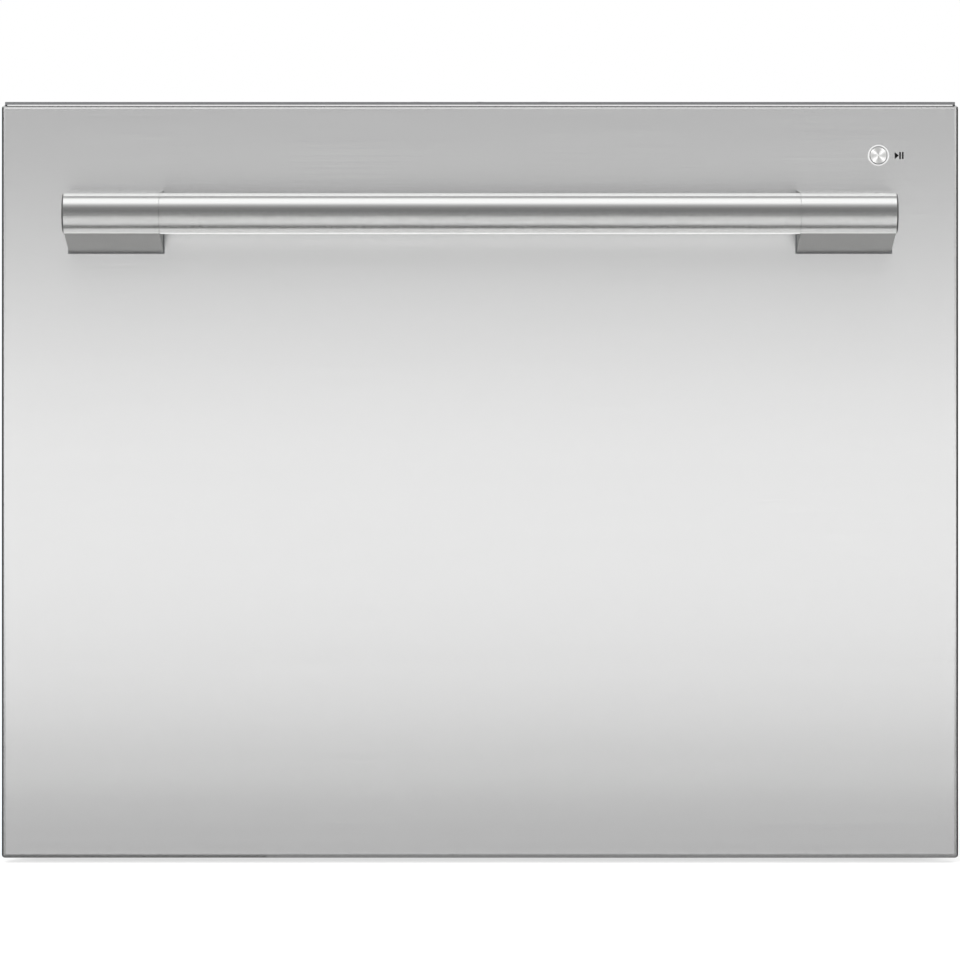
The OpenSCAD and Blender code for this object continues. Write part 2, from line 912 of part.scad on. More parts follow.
module foot_rear_left() foot(-1, foot_y_rear);

module foot_rear_right() foot(1, foot_y_rear);

// ---------- Front ----------

x_foot_in = bar_len / 2;
x_foot_mid = x_foot_in + end_len / 2;
strip_setback = 0.5;
strip_y0 = y_face + strip_setback;
strip_r = 1.5;
strip_y = y_face + door_t / 2;
strip_hole_r = strip_button_d / 2 + button_gap;

module front_outline(grow) {
  translate([-front_w / 2 - grow, front_lift - grow])
    round_rect(front_w + 2 * grow, panel_h + 2 * grow, corner_r + grow);
}

// Rounded on its four front edges: the outline, and the plan and side profiles, cut each other
module front_solid(inset, r, y0, y1) {
  w = front_w - 2 * inset;
  h = panel_h - 2 * inset;
  intersection() {
    translate([-w / 2, y1, front_lift + inset])
      rotate([90, 0, 0])
        linear_extrude(y1 - y0)
          round_rect(w, h, max(corner_r - inset, 0.8));
    translate([-w / 2, y0, front_lift])
      linear_extrude(panel_h)
        round_rect(w, 2 * (y1 - y0), r);
    translate([-w / 2, y0, front_lift + inset])
      rotate([90, 0, 90])
        linear_extrude(w)
          round_rect(2 * (y1 - y0), h, r);
  }
}

module handle_screw_holes(r, y0, y1) {
  for (sx = [-1, 1])
    for (dx = [-1, 1])
      rod_y(sx * x_foot_mid + dx * handle_screw_pitch / 2, y0, y1,
            foot_z + foot_h / 2, r);
}

module front_panel() {
  color("lightgray")
    difference() {
      front_solid(0, fold_r, y_face, y_face + skin_depth);
      front_solid(skin_t, fold_r - skin_t, y_face + skin_t, y_face + skin_depth + over);
      handle_screw_holes(handle_screw_r + fit_gap, y_face - over, y_face + skin_t + over);
      rod_y(button_x, y_face - over, y_face + skin_t + over, button_z, ring_neck_r + fit_gap);
      for (i = [-1 : 1])
        rod_z(i * strip_button_pitch, strip_y, panel_top - skin_t - over, panel_top + over, strip_hole_r);
    }
}

rib_t = 2.5;
rib_xs = [-120, 0, 120];
rib_low = 20;
rib_high = 40;
rib_root = 0.5;
backing_gap = 0.3;

module front_backing() {
  color("gray") {
    slab(-front_w / 2 + skin_t + backing_gap, front_w / 2 - skin_t - backing_gap, y_door - backing_t, y_door,
         front_lift + skin_t + backing_gap, panel_top - skin_t - backing_gap);
    for (x = rib_xs)
      slab(x - rib_t / 2, x + rib_t / 2, y_face + skin_t + backing_gap, y_door - backing_t + rib_root,
           front_lift + rib_low, panel_top - rib_high);
  }
}

module top_strip() {
  color("dimgray")
    difference() {
      translate([-front_w / 2 + strip_inset, strip_y0, panel_top])
        linear_extrude(strip_rise)
          round_rect(front_w - 2 * strip_inset, y_door - strip_y0, strip_r);
      for (i = [-1 : 1])
        rod_z(i * strip_button_pitch, strip_y, panel_top - over, strip_top + over, strip_hole_r);
    }
}

button_under = 2.5;
button_collar = 1.5;
z_button = panel_top - skin_t - button_under;

module strip_button(i) {
  color("silver") {
    rod_z(i * strip_button_pitch, strip_y, z_button, strip_top + strip_button_rise, strip_button_d / 2);
    rod_z(i * strip_button_pitch, strip_y, z_button, z_button + button_collar, strip_button_d / 2 + button_collar);
  }
}

module strip_button_left() strip_button(-1);

module strip_button_middle() strip_button(0);

module strip_button_right() strip_button(1);

board_gap = 0.2;
board_t = 1.6;
board_end = 15;
board_half_w = 8;
start_board_half = 11;
board_z = z_button - strip_button_travel - board_gap;

module switch_boards() {
  color("darkgreen") {
    slab(-strip_button_pitch - board_end, strip_button_pitch + board_end, strip_y - board_half_w,
         y_door - backing_t, board_z - board_t, board_z);
    slab(button_x - start_board_half, button_x + start_board_half, y_face + ring_stack + button_travel + board_gap,
         y_door - backing_t, button_z - board_half_w, button_z + board_half_w);
  }
}

ring_lap = 0.4;
ring_neck_r = bezel_d / 2 - ring_lap;
ring_bore_r = button_d / 2 + button_gap;
ring_depth = 3.2;
ring_stack = 6;

module button_ring() {
  color("whitesmoke")
    difference() {
      union() {
        rod_y(button_x, y_face - bezel_rise, y_face, button_z, bezel_d / 2);
        rod_y(button_x, y_face, y_face + ring_depth, button_z, ring_neck_r);
      }
      rod_y(button_x, y_face - bezel_rise - over, y_face + ring_depth + over, button_z, ring_bore_r);
    }
}

cap_stop_gap = 0.5;
cap_stop_w = 0.6;

module start_button() {
  color("silver") {
    rod_y(button_x, y_face - bezel_rise - button_rise, y_face + ring_stack, button_z, button_d / 2);
    rod_y(button_x, y_face + ring_depth + cap_stop_gap, y_face + ring_stack, button_z, ring_neck_r + cap_stop_w);
  }
}

symbol_t = 0.1;
symbol_bar = 1;
symbol_arrow = 2.6;
symbol_step = 0.3;
symbol_pitch = 1.7;

module start_symbol() {
  x0 = button_x + bezel_d / 2 + symbol_gap;
  z0 = button_z;
  color("black")
    translate([0, y_face, 0])
      rotate([90, 0, 0])
        linear_extrude(symbol_t) {
          polygon([[x0, z0 - symbol_h / 2], [x0 + symbol_arrow, z0], [x0, z0 + symbol_h / 2]]);
          for (i = [0, 1])
            translate([x0 + symbol_arrow + symbol_step + i * symbol_pitch, z0 - symbol_h / 2])
              square([symbol_bar, symbol_h]);
        }
}

// ---------- Handle ----------

bar_r = bar_d / 2;
y_bar = y_face - bar_reach;
tube_r = bar_r - bar_wall;

module handle_bar() {
  color("silver")
    difference() {
      rod_x(-bar_len / 2, bar_len / 2, y_bar, axis_z, bar_r);
      rod_x(-bar_len / 2 - over, bar_len / 2 + over, y_bar, axis_z, tube_r);
    }
}

// Points where a line from p touches the circle around c, on the side that s gives
function touch(p, c, r, s) =
  let (d = norm(p - c), a = atan2(p[1] - c[1], p[0] - c[0]) + s * acos(r / d))
  c + r * [cos(a), sin(a)];

// Side profile of an end piece: the bar's circle joined to its foot, as [y, z]
module end_profile(r) {
  c = [y_bar, axis_z];
  low = [y_face, foot_z];
  high = [y_face, foot_z + foot_h];
  translate(c)
    circle(r = r, $fn = 96);
  polygon([high, touch(high, c, r, 1), c, touch(low, c, r, -1), low]);
}

module handle_end(side) {
  color("silver")
    mirrored(side)
      difference() {
        union() {
          translate([x_foot_in, 0, 0])
            rotate([90, 0, 90])
              linear_extrude(end_len - end_bevel)
                end_profile(bar_r);
          translate([x_foot_in + end_len - end_bevel, y_bar, axis_z])
            rotate([0, 90, 0])
              cylinder(r1 = bar_r, r2 = bar_r - end_bevel, h = end_bevel, $fn = 96);
          rod_x(x_foot_in - spigot_len, x_foot_in + over, y_bar, axis_z, tube_r - run_gap);
        }
        for (dx = [-1, 1])
          rod_y(x_foot_mid + dx * handle_screw_pitch / 2, y_face - handle_screw_depth, y_face + over,
                foot_z + foot_h / 2, handle_screw_r);
      }
}

module handle_end_left() handle_end(-1);

module handle_end_right() handle_end(1);

handle_head_r = 4.5;
handle_head_t = 3;

module handle_screws() {
  color("gray") {
    handle_screw_holes(handle_screw_r - run_gap, y_face - handle_screw_depth + over, y_face + skin_t + over);
    handle_screw_holes(handle_head_r, y_face + skin_t, y_face + skin_t + handle_head_t);
  }
}

// ---------- Tub ----------

rail_t = x_inner_web - half_tub;
hub_hole_r = 22;
pad_x = half_tub - 86;
pad_zs = [tub_z + 48, rim_z - 45];
pad_half_w = 30;
pad_half_h = 15;
elbow_w = 26;
elbow_h = 24;
elbow_out = 11;

module tub() {
  color("lightgray")
    difference() {
      union() {
        tub_block(0, tub_z, rim_z);
        tub_block(lip_w, rim_z - lip_h, rim_z);
        both_sides()
          slab(half_tub - over, half_tub + rail_t, y_tub + tub_r / 2, y_tub_back - tub_r / 2,
               runner_z - rail_half_h, runner_z + rail_half_h);
        for (x = [-pad_x, pad_x])
          for (z = pad_zs)
            slab(x - pad_half_w, x + pad_half_w, y_door, y_tub + over, z - pad_half_h, z + pad_half_h);
        for (x = [inlet_x, drain_x, cable_x])
          slab(x + hose_span - elbow_w / 2, x + hose_span + elbow_w / 2, y_tub_back - over,
               hose_y_moving + elbow_out, tub_elbow_top - elbow_h, tub_elbow_top);
        rod_z(0, y_mid, sump_under, tub_floor, sump_r + tub_wall);
      }
      tub_block(-tub_wall, tub_floor, rim_z + over);
      rod_z(0, y_mid, sump_floor, tub_floor + over, sump_r);
      rod_z(0, y_mid, sump_under - over, tub_floor, hub_hole_r);
    }
}

// ---------- Wash system ----------

shaft_r = 4;
shaft_out = 16;

module wash_motor() {
  color("gray") {
    rod_z(0, y_mid, sump_under - motor_h, sump_under, motor_r);
    rod_z(0, y_mid, sump_under - over, sump_floor, hub_hole_r - fit_gap);
    rod_z(0, y_mid, sump_floor - over, sump_floor + shaft_out, shaft_r);
  }
}

rotor_gap = 2;
rotor_z = sump_floor + rotor_gap;
rotor_plate_t = 2;
rotor_h = 12;
rotor_hub_r = 9;
blade_t = 2;

module pump_rotor() {
  color("white")
    difference() {
      union() {
        rod_z(0, y_mid, rotor_z, rotor_z + rotor_plate_t, rotor_r);
        rod_z(0, y_mid, rotor_z, rotor_z + rotor_h, rotor_hub_r);
        for (i = [0 : rotor_blades - 1])
          translate([0, y_mid, rotor_z])
            rotate([0, 0, i * 360 / rotor_blades])
              translate([rotor_hub_r - over, -blade_t / 2, 0])
                cube([rotor_r - rotor_hub_r, blade_t, rotor_h]);
      }
      rod_z(0, y_mid, rotor_z - over, rotor_z + rotor_h + over, shaft_r + run_gap);
    }
}

heater_gap = 6;
heater_in = motor_r + heater_gap;
heater_out = 108;
heater_t = 3;

module heater_plate() {
  color("silver")
    difference() {
      rod_z(0, y_mid, sump_under - heater_t, sump_under, heater_out);
      rod_z(0, y_mid, sump_under - heater_t - over, sump_under + over, heater_in);
    }
}

filter_lap = 8;
post_wall = 3;
post_bore_r = post_r - post_wall;
slot_w = 2.4;
slot_start = 52;
slot_len = 60;
slot_angles = [-50 : 10 : 230];
post_over = 6;
post_top = tub_floor + filter_t + spray_h + post_over;
collar_h = 3;
collar_w = 6;
collar_r = post_r + collar_w;

module filter_plate() {
  color("silver")
    difference() {
      union() {
        rod_z(0, y_mid, tub_floor, tub_floor + filter_t, sump_r + filter_lap);
        rod_z(0, y_mid, tub_floor, tub_floor + filter_t + collar_h, collar_r);
        rod_z(0, y_mid, tub_floor, post_top, post_r);
      }
      rod_z(0, y_mid, tub_floor - over, post_top + over, post_bore_r);
      rod_z(0, y_mid - filter_offset, tub_floor - over, tub_floor + filter_t + over, filter_r + fit_gap);
      for (a = slot_angles)
        translate([0, y_mid, tub_floor - over])
          rotate([0, 0, a])
            translate([slot_start, -slot_w / 2, 0])
              cube([slot_len, slot_w, filter_t + 2 * over]);
    }
}

cup_under = 3;
cup_depth = sump_depth - cup_under;
cup_t = 1.5;
flange_w = 4;
grip_t = 6;

module drain_filter() {
  color("gray") {
    difference() {
      union() {
        rod_z(0, y_mid - filter_offset, tub_floor - cup_depth, tub_floor + filter_t, filter_r);
        rod_z(0, y_mid - filter_offset, tub_floor + filter_t, tub_floor + filter_t + cup_t, filter_r + flange_w);
      }
      rod_z(0, y_mid - filter_offset, tub_floor - cup_depth + cup_t, tub_floor + filter_t + 2 * cup_t,
            filter_r - cup_t);
    }
    slab(-grip_t / 2, grip_t / 2, y_mid - filter_offset - filter_r + over, y_mid - filter_offset + filter_r - over,
         tub_floor - grip_t, tub_floor + filter_t + cup_t / 3);
  }
}

spray_z = tub_floor + filter_t + collar_h + run_gap;
arm_root = 34;
arm_tip = 17;
duct_wall = 2;
jet_r = 1.5;
jet_step = 36;
jet_start = 30;
jet_shift = 5;
root_inset = 8;
hub_wall = 4;

// Half of the arm seen from above, from the hub outwards along +X
module arm_plan(root, tip, reach) {
  polygon([[0, -root], [reach - tip, -tip], [reach - tip, tip], [0, root]]);
  translate([reach - tip, 0])
    circle(r = tip);
}

module spray_arm() {
  color("gray")
    translate([0, y_mid, spray_z])
      difference() {
        union() {
          for (a = [0, 180])
            rotate([0, 0, a])
              linear_extrude(spray_h)
                arm_plan(arm_root - root_inset, arm_tip, spray_r);
          cylinder(r = arm_root, h = spray_h);
        }
        difference() {
          for (a = [0, 180])
            rotate([0, 0, a])
              translate([0, 0, duct_wall])
                linear_extrude(spray_h - 2 * duct_wall)
                  arm_plan(arm_root - root_inset - duct_wall, arm_tip - duct_wall, spray_r - duct_wall);
          cylinder(r = post_r + hub_wall, h = spray_h);
        }
        translate([0, 0, -over])
          cylinder(r = post_r + run_gap, h = spray_h + 2 * over);
        for (a = [0, 180])
          rotate([0, 0, a])
            for (i = [1 : 4])
              translate([jet_start + i * jet_step, (i % 2 * 2 - 1) * jet_shift, spray_h - duct_wall - over])
                cylinder(r = jet_r, h = duct_wall + 2 * over);
      }
}

// ---------- Dispenser ----------

y_disp = y_wall + dispenser_t;
cup_side = 12;
cup_sill = 14;
cup_deep = 12;
cup_x = dispenser_x + cup_side;
cup_z0 = dispenser_z + cup_sill;
dispenser_r = 8;
flap_t = 3;
flap_lap = 3;
pin_r = 1.3;
barrel_r = 2.6;
barrel_gap = 0.2;
y_pin = y_disp + rubber_gap + flap_t / 2 + 0.8;
z_pin = cup_z0 - flap_lap - barrel_r + over;
ear_w = 4;
ear_gap = 0.4;
cap_inset = 42;
cap_x = dispenser_x + dispenser_w - cap_inset;
cap_z = dispenser_z + dispenser_h / 2;
plug_r = cap_r - 4;
plug_len = 9;
cap_t = 4;
grip_h = 5;

module detergent_dispenser() {
  color("gray")
    difference() {
      union() {
        translate([dispenser_x, y_disp, dispenser_z])
          rotate([90, 0, 0])
            linear_extrude(dispenser_t)
              round_rect(dispenser_w, dispenser_h, dispenser_r);
        for (x = [cup_x - flap_lap - ear_w - ear_gap, cup_x + cup_w + flap_lap + ear_gap])
          slab(x, x + ear_w, y_disp - over, y_pin + barrel_r, z_pin - barrel_r, z_pin + barrel_r);
      }
      slab(cup_x, cup_x + cup_w, y_disp - cup_deep, y_disp + over, cup_z0, cup_z0 + cup_h);
      rod_x(cup_x - flap_lap - ear_w - over, cup_x + cup_w + flap_lap + ear_w + over, y_pin, z_pin, pin_r + run_gap);
      rod_y(cap_x, y_disp - plug_len - over, y_disp + over, cap_z, plug_r + run_gap);
    }
}

module detergent_door() {
  color("lightgray") {
    slab(cup_x - flap_lap, cup_x + cup_w + flap_lap, y_disp + rubber_gap, y_disp + rubber_gap + flap_t,
         z_pin + over, cup_z0 + cup_h + flap_lap);
    rod_x(cup_x - flap_lap, cup_x + cup_w + flap_lap, y_pin, z_pin, barrel_r - barrel_gap);
    rod_x(cup_x - flap_lap - ear_w, cup_x + cup_w + flap_lap + ear_w, y_pin, z_pin, pin_r);
  }
}

module rinse_aid_cap() {
  color("steelblue") {
    rod_y(cap_x, y_disp - plug_len, y_disp + rubber_gap + over, cap_z, plug_r);
    rod_y(cap_x, y_disp + rubber_gap, y_disp + rubber_gap + cap_t, cap_z, cap_r);
    slab(cap_x - plug_r, cap_x + plug_r, y_disp + rubber_gap + cap_t - over, y_disp + rubber_gap + 2 * cap_t,
         cap_z - grip_h / 2, cap_z + grip_h / 2);
  }
}

// ---------- Basket ----------

weld = 0.3;
wall_z0 = basket_floor_top + weld;
row_z = thin_wire_top + weld + wire_d / 2;
pitch_x = basket_w / wires_x;
basket_foot_r = 3.5;
fixed_rows = [for (i = [0 : 2]) row_y_front + i * row_pitch];
cup_wires = 6;
cup_clip_inset = 20;
clip_under = 2;

module basket_floor() {
  for (i = [0 : wires_x])
    wire_y(-half_basket + rim_wire_d / 2 + i * (basket_w - rim_wire_d) / wires_x, y_basket, y_basket + basket_d,
           wire_z, i % wires_x == 0 ? rim_wire_d : wire_d);
  for (i = [0 : wires_y])
    wire_x(-half_basket, half_basket, y_basket + rim_wire_d / 2 + i * (basket_d - rim_wire_d) / wires_y,
           wire_z, i % wires_y == 0 ? rim_wire_d : wire_d);
  for (sx = [-1, 1])
    for (sy = [-1, 1])
      rod_z(sx * (half_basket - rim_wire_d / 2), y_mid + sy * (basket_d / 2 - rim_wire_d / 2),
            tub_floor, wire_z - rim_wire_d / 2 - weld, basket_foot_r);
}

module basket_wall_side() {
  for (i = [1 : wires_y * 2 - 1])
    wire_z(half_basket - rim_wire_d / 2, y_basket + i * basket_d / (wires_y * 2), wall_z0, basket_top, wire_d);
  for (z = [wall_z0 + wire_d / 2, (wall_z0 + basket_top) / 2])
    wire_y(half_basket - rim_wire_d / 2, y_basket + rim_wire_d + weld, y_basket + basket_d - rim_wire_d - weld,
           z, wire_d);
  wire_y(half_basket - rim_wire_d / 2, y_basket + rim_wire_d + weld, y_basket + basket_d - rim_wire_d - weld,
         basket_top, rim_wire_d);
  for (y = [-1, 1])
    translate([x_cup - clip_t - pivot_r, y_mid + y * (cup_rack_len / 2 - cup_clip_inset) - clip_w / 2,
               basket_top + clip_under])
      difference() {
        cube([cup_inset + clip_t + pivot_r, clip_w, cup_lift - clip_under + pivot_r + clip_t]);
        translate([clip_t + pivot_r, -over, cup_lift - clip_under])
          rotate([-90, 0, 0])
            cylinder(r = pivot_r + run_gap, h = clip_w + 2 * over);
      }
}

module basket_wall_end(y) {
  for (i = [1 : wires_x - 1])
    wire_z(-half_basket + i * pitch_x, y, wall_z0, basket_top, wire_d);
  for (z = [wall_z0 + wire_d / 2, (wall_z0 + basket_top) / 2])
    wire_x(-half_basket, half_basket, y, z, wire_d);
  wire_x(-half_basket, half_basket, y, basket_top, rim_wire_d);
}

module tine_row_fixed(y) {
  wire_x(fixed_x - row_end, fixed_end, y, row_z, wire_d);
  for (i = [0 : fixed_tines - 1])
    wire_z(fixed_x + i * tine_pitch, y, row_z, basket_floor_top + tine_h, tine_d);
}

module row_clips(y) {
  for (x = [row_x + tine_pitch / 2, row_x + (row_tines - 1.5) * tine_pitch])
    difference() {
      slab(x - clip_w / 2, x + clip_w / 2, y - pivot_r - clip_t, y + pivot_r + clip_t,
           thin_wire_top + weld, pivot_z + pivot_r + clip_t);
      rod_x(x - clip_w, x + clip_w, y, pivot_z, pivot_r + run_gap);
    }
}

module basket() {
  color("dimgray") {
    basket_floor();
    both_sides()
      basket_wall_side();
    basket_wall_end(y_basket + rim_wire_d / 2);
    basket_wall_end(y_basket + basket_d - rim_wire_d / 2);
    row_clips(row_y_front);
    row_clips(row_y_rear);
  }
}

module fixed_tines() {
  color("dimgray")
    for (y = fixed_rows)
      tine_row_fixed(y);
}

module folding_tines(y) {
  color("slategray") {
    rod_x(row_x - row_end, row_x + (row_tines - 1) * tine_pitch + row_end, y, pivot_z, pivot_r);
    for (i = [0 : row_tines - 1])
      wire_z(row_x + i * tine_pitch, y, pivot_z, basket_floor_top + tine_h, tine_d);
  }
}

module folding_tines_front() folding_tines(row_y_front);

module folding_tines_rear() folding_tines(row_y_rear);

module cup_rack(side) {
  color("slategray")
    mirrored(side) {
      rod_y(x_cup, y_mid - cup_rack_len / 2, y_mid + cup_rack_len / 2, cup_z, pivot_r);
      wire_y(x_cup - cup_rack_w, y_mid - cup_rack_len / 2, y_mid + cup_rack_len / 2, cup_z, wire_d);
      wire_y(x_cup - cup_rack_w / 2, y_mid - cup_rack_len / 2, y_mid + cup_rack_len / 2, cup_z, tine_d);
      for (i = [0 : cup_wires])
        wire_x(x_cup - cup_rack_w, x_cup, y_mid + (i / cup_wires - 0.5) * (cup_rack_len - wire_d), cup_z, tine_d);
    }
}

module cup_rack_left() cup_rack(-1);

module cup_rack_right() cup_rack(1);

cutlery_w = 150;
cutlery_d = 72;
cutlery_h = 116;
cutlery_side_gap = 14;
cutlery_front_gap = 9;
cutlery_x = cutlery_side_gap - half_basket;
cutlery_y = y_basket + cutlery_front_gap;
cutlery_z = basket_floor_top + weld;
cutlery_wall = 2;
slits = 9;
slit_w = 6;
slit_pitch = 15;
slit_inset = 12;
slit_low = 14;
slit_high = 24;

module cutlery_basket() {
  color("slategray")
    difference() {
      slab(cutlery_x, cutlery_x + cutlery_w, cutlery_y, cutlery_y + cutlery_d, cutlery_z, cutlery_z + cutlery_h);
      slab(cutlery_x + cutlery_wall, cutlery_x + cutlery_w - cutlery_wall, cutlery_y + cutlery_wall,
           cutlery_y + cutlery_d - cutlery_wall, cutlery_z + cutlery_wall, cutlery_z + cutlery_h + over);
      for (i = [0 : slits - 1])
        slab(cutlery_x + slit_inset + i * slit_pitch, cutlery_x + slit_inset + i * slit_pitch + slit_w,
             cutlery_y - over, cutlery_y + cutlery_d + over, cutlery_z + slit_low, cutlery_z + cutlery_h - slit_high);
    }
}

chassis_side_left();
chassis_side_right();
chassis_top();
base_pan();
back_panel();
front_frame();
front_gasket();
runner_outer_left();
runner_outer_right();
lid_actuators();
service_box();
inlet_valve();
drain_outlet();
cable_gland();
controller_box();
flood_sensor();
chassis_screws();
hoses();
foot_front_left();
foot_front_right();
foot_rear_left();
foot_rear_right();
lid_panel();
lid_seal();
lid_links();
runner_middle_left();
runner_middle_right();
front_panel();
front_backing();
top_strip();
handle_bar();
handle_end_left();
handle_end_right();
handle_screws();
button_ring();
switch_boards();
start_symbol();
tub();
runner_inner_left();
runner_inner_right();
filter_plate();
drain_filter();
wash_motor();
heater_plate();
detergent_dispenser();
basket();
fixed_tines();
cutlery_basket();
start_button();
strip_button_left();
strip_button_middle();
strip_button_right();
spray_arm();
pump_rotor();
detergent_door();
rinse_aid_cap();
folding_tines_front();
folding_tines_rear();
cup_rack_left();
cup_rack_right();
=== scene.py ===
import math

import bpy
from mathutils import Matrix, Vector


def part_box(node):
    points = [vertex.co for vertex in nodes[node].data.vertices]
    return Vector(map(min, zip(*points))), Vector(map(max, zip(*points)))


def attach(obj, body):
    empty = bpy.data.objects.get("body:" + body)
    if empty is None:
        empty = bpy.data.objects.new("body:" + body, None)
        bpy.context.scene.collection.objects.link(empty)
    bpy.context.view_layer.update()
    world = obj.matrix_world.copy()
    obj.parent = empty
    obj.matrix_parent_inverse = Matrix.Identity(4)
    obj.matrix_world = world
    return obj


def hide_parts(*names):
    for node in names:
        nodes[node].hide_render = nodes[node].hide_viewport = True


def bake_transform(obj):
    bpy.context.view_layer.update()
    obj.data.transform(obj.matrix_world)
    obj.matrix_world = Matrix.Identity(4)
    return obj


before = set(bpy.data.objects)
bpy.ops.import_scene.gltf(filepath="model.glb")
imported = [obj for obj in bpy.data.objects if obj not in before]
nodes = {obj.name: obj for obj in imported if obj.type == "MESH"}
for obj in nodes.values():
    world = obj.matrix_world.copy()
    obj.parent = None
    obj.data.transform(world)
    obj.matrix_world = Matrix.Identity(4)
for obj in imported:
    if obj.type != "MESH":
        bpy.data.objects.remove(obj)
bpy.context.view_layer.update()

MM = 0.001

# ---------------------------------------------------------------- tools for the mesh work


def pick(*objects):
    """Leaves only these objects selected, the last one active."""
    bpy.ops.object.select_all(action="DESELECT")
    for obj in objects:
        obj.select_set(True)
        bpy.context.view_layer.objects.active = obj


def applied(obj, kind, **settings):
    """Adds a modifier with these settings and applies it."""
    pick(obj)
    modifier = obj.modifiers.new(kind.title(), kind)
    for name, value in settings.items():
        setattr(modifier, name, value)
    bpy.ops.object.modifier_apply(modifier=modifier.name)
    return obj


def in_edit(obj, *steps):
    """Runs mesh operators on the whole of obj."""
    pick(obj)
    bpy.ops.object.mode_set(mode="EDIT")
    bpy.ops.mesh.select_all(action="SELECT")
    for operator, settings in steps:
        operator(**settings)
    bpy.ops.object.mode_set(mode="OBJECT")
    return obj


def titled(obj, name):
    """Gives the object and its mesh this name."""
    obj.name = name
    obj.data.name = name
    return obj


def named(name):
    """Names the object just added and puts its place into its mesh."""
    obj = titled(bpy.context.object, name)
    bpy.ops.object.transform_apply(location=True, rotation=True, scale=True)
    return obj


def smooth(obj, angle=30):
    """Round surfaces shade round, and large flat ones stay flat."""
    pick(obj)
    bpy.ops.object.shade_smooth_by_angle(angle=math.radians(angle))
    return applied(obj, "WEIGHTED_NORMAL", keep_sharp=True)


def rounded(obj, width, segments=3, angle=30):
    """Edges sharper than the angle are broken by this width in millimetres."""
    applied(obj, "BEVEL", width=width * MM, segments=segments, limit_method="ANGLE",
            angle_limit=math.radians(angle), use_clamp_overlap=True)
    return smooth(obj)


def joined(name, parts):
    """Several meshes made one."""
    pick(*parts)
    if len(parts) > 1:
        bpy.ops.object.join()
    return titled(bpy.context.object, name)


def placed(name, data):
    """A new object in the scene that shows this data."""
    obj = bpy.data.objects.new(name, data)
    bpy.context.scene.collection.objects.link(obj)
    return obj


def copied(obj, name, matrix):
    """A copy with its own mesh, put through the matrix, which turns and moves it."""
    twin = titled(placed(name, obj.data.copy()), name)
    twin.data.transform(matrix)
    return twin


def moved(x, y, z):
    """The matrix that moves a shape by this much."""
    return Matrix.Translation((x, y, z))


def from_cad(node, name):
    """A merged copy of a CAD node, with its flat faces whole again."""
    obj = titled(placed(name, nodes[node].data.copy()), name)
    obj.data.materials.clear()
    return in_edit(obj, (bpy.ops.mesh.remove_doubles, {"threshold": 0.002 * MM}),
                   (bpy.ops.mesh.dissolve_limited, {"angle_limit": math.radians(0.6)}))


def block(name, corner, opposite):
    """A box between two opposite corners, to be shaped further."""
    low = Vector([min(pair) for pair in zip(corner, opposite)])
    high = Vector([max(pair) for pair in zip(corner, opposite)])
    bpy.ops.mesh.primitive_cube_add(size=1, location=(low + high) / 2, scale=high - low)
    return named(name)


def rod(name, start, end, radius, sides=32, tip=0.0):
    """A round bar, its ends broken by tip."""
    start, end = Vector(start), Vector(end)
    turn = (end - start).to_track_quat("Z", "Y").to_euler()
    bpy.ops.mesh.primitive_cylinder_add(vertices=sides, radius=radius, depth=(end - start).length,
                                        location=(start + end) / 2, rotation=turn)
    obj = named(name)
    if tip:
        applied(obj, "BEVEL", width=tip, segments=3, limit_method="ANGLE", angle_limit=math.radians(60))
    return obj


def rounded_corners(points, bend, closed=False, steps=6):
    """The path with each corner turned into an arc of this radius."""
    points = [Vector(p) for p in points]
    path = []
    for i, corner in enumerate(points):
        if not closed and i in (0, len(points) - 1):
            path.append(corner)
            continue
        before, after = points[i - 1], points[(i + 1) % len(points)]
        a, b = (before - corner).normalized(), (after - corner).normalized()
        half = a.angle(b) / 2
        if abs(half - math.pi / 2) < 0.01:
            path.append(corner)
            continue
        reach = bend / math.tan(half)
        centre = corner + (a + b).normalized() * (bend / math.sin(half))
        p, q = corner + a * reach - centre, corner + b * reach - centre
        whole = p.angle(q)
        for k in range(steps + 1):
            t = k / steps
            path.append(centre + p * (math.sin((1 - t) * whole) / math.sin(whole))
                        + q * (math.sin(t * whole) / math.sin(whole)))
    return path


def as_mesh(name, curve):
    """The curve as a mesh object."""
    pick(placed(name, curve))
    bpy.ops.object.convert(target="MESH")
    return bpy.context.object


def wire(name, points, radius, closed=False, bend=0.0, sides=2, swell=None):
    """A round wire along the points. swell gives the share of its radius at each point."""
    if bend:
        points = rounded_corners(points, bend, closed)
    curve = bpy.data.curves.new(name, "CURVE")
    curve.dimensions = "3D"
    curve.bevel_depth = radius
    curve.bevel_resolution = sides
    curve.use_fill_caps = True
    spline = curve.splines.new("POLY")
    spline.points.add(len(points) - 1)
    for point, place, share in zip(spline.points, points, swell or [1.0] * len(points)):
        point.co = (*place, 1)
        point.radius = share
    spline.use_cyclic_u = closed
    return as_mesh(name, curve)


def turned(name, profile, place, steps=64, sharp=35, forward=False):
    """A turned shape: profile is a closed list of (radius, height) in millimetres. Its height points up, or
    forward. Edges beyond the sharp angle stay crisp, and 0 leaves it unsmoothed, to be cut first."""
    bpy.ops.mesh.primitive_circle_add(vertices=len(profile), radius=1, fill_type="NOTHING")
    obj = bpy.context.object
    for vertex, (radius, height) in zip(obj.data.vertices, profile):
        vertex.co = (radius * MM, 0, height * MM)
    applied(obj, "SCREW", angle=math.tau, steps=steps, render_steps=steps, use_merge_vertices=True,
            merge_threshold=0.001 * MM, use_normal_calculate=True)
    in_edit(obj, (bpy.ops.mesh.remove_doubles, {"threshold": 0.001 * MM}),
            (bpy.ops.mesh.normals_make_consistent, {"inside": False}))
    if forward:
        obj.data.transform(Matrix.Rotation(math.pi / 2, 4, "X"))
    obj.data.transform(moved(*place))
    titled(obj, name)
    return smooth(obj, sharp) if sharp else obj


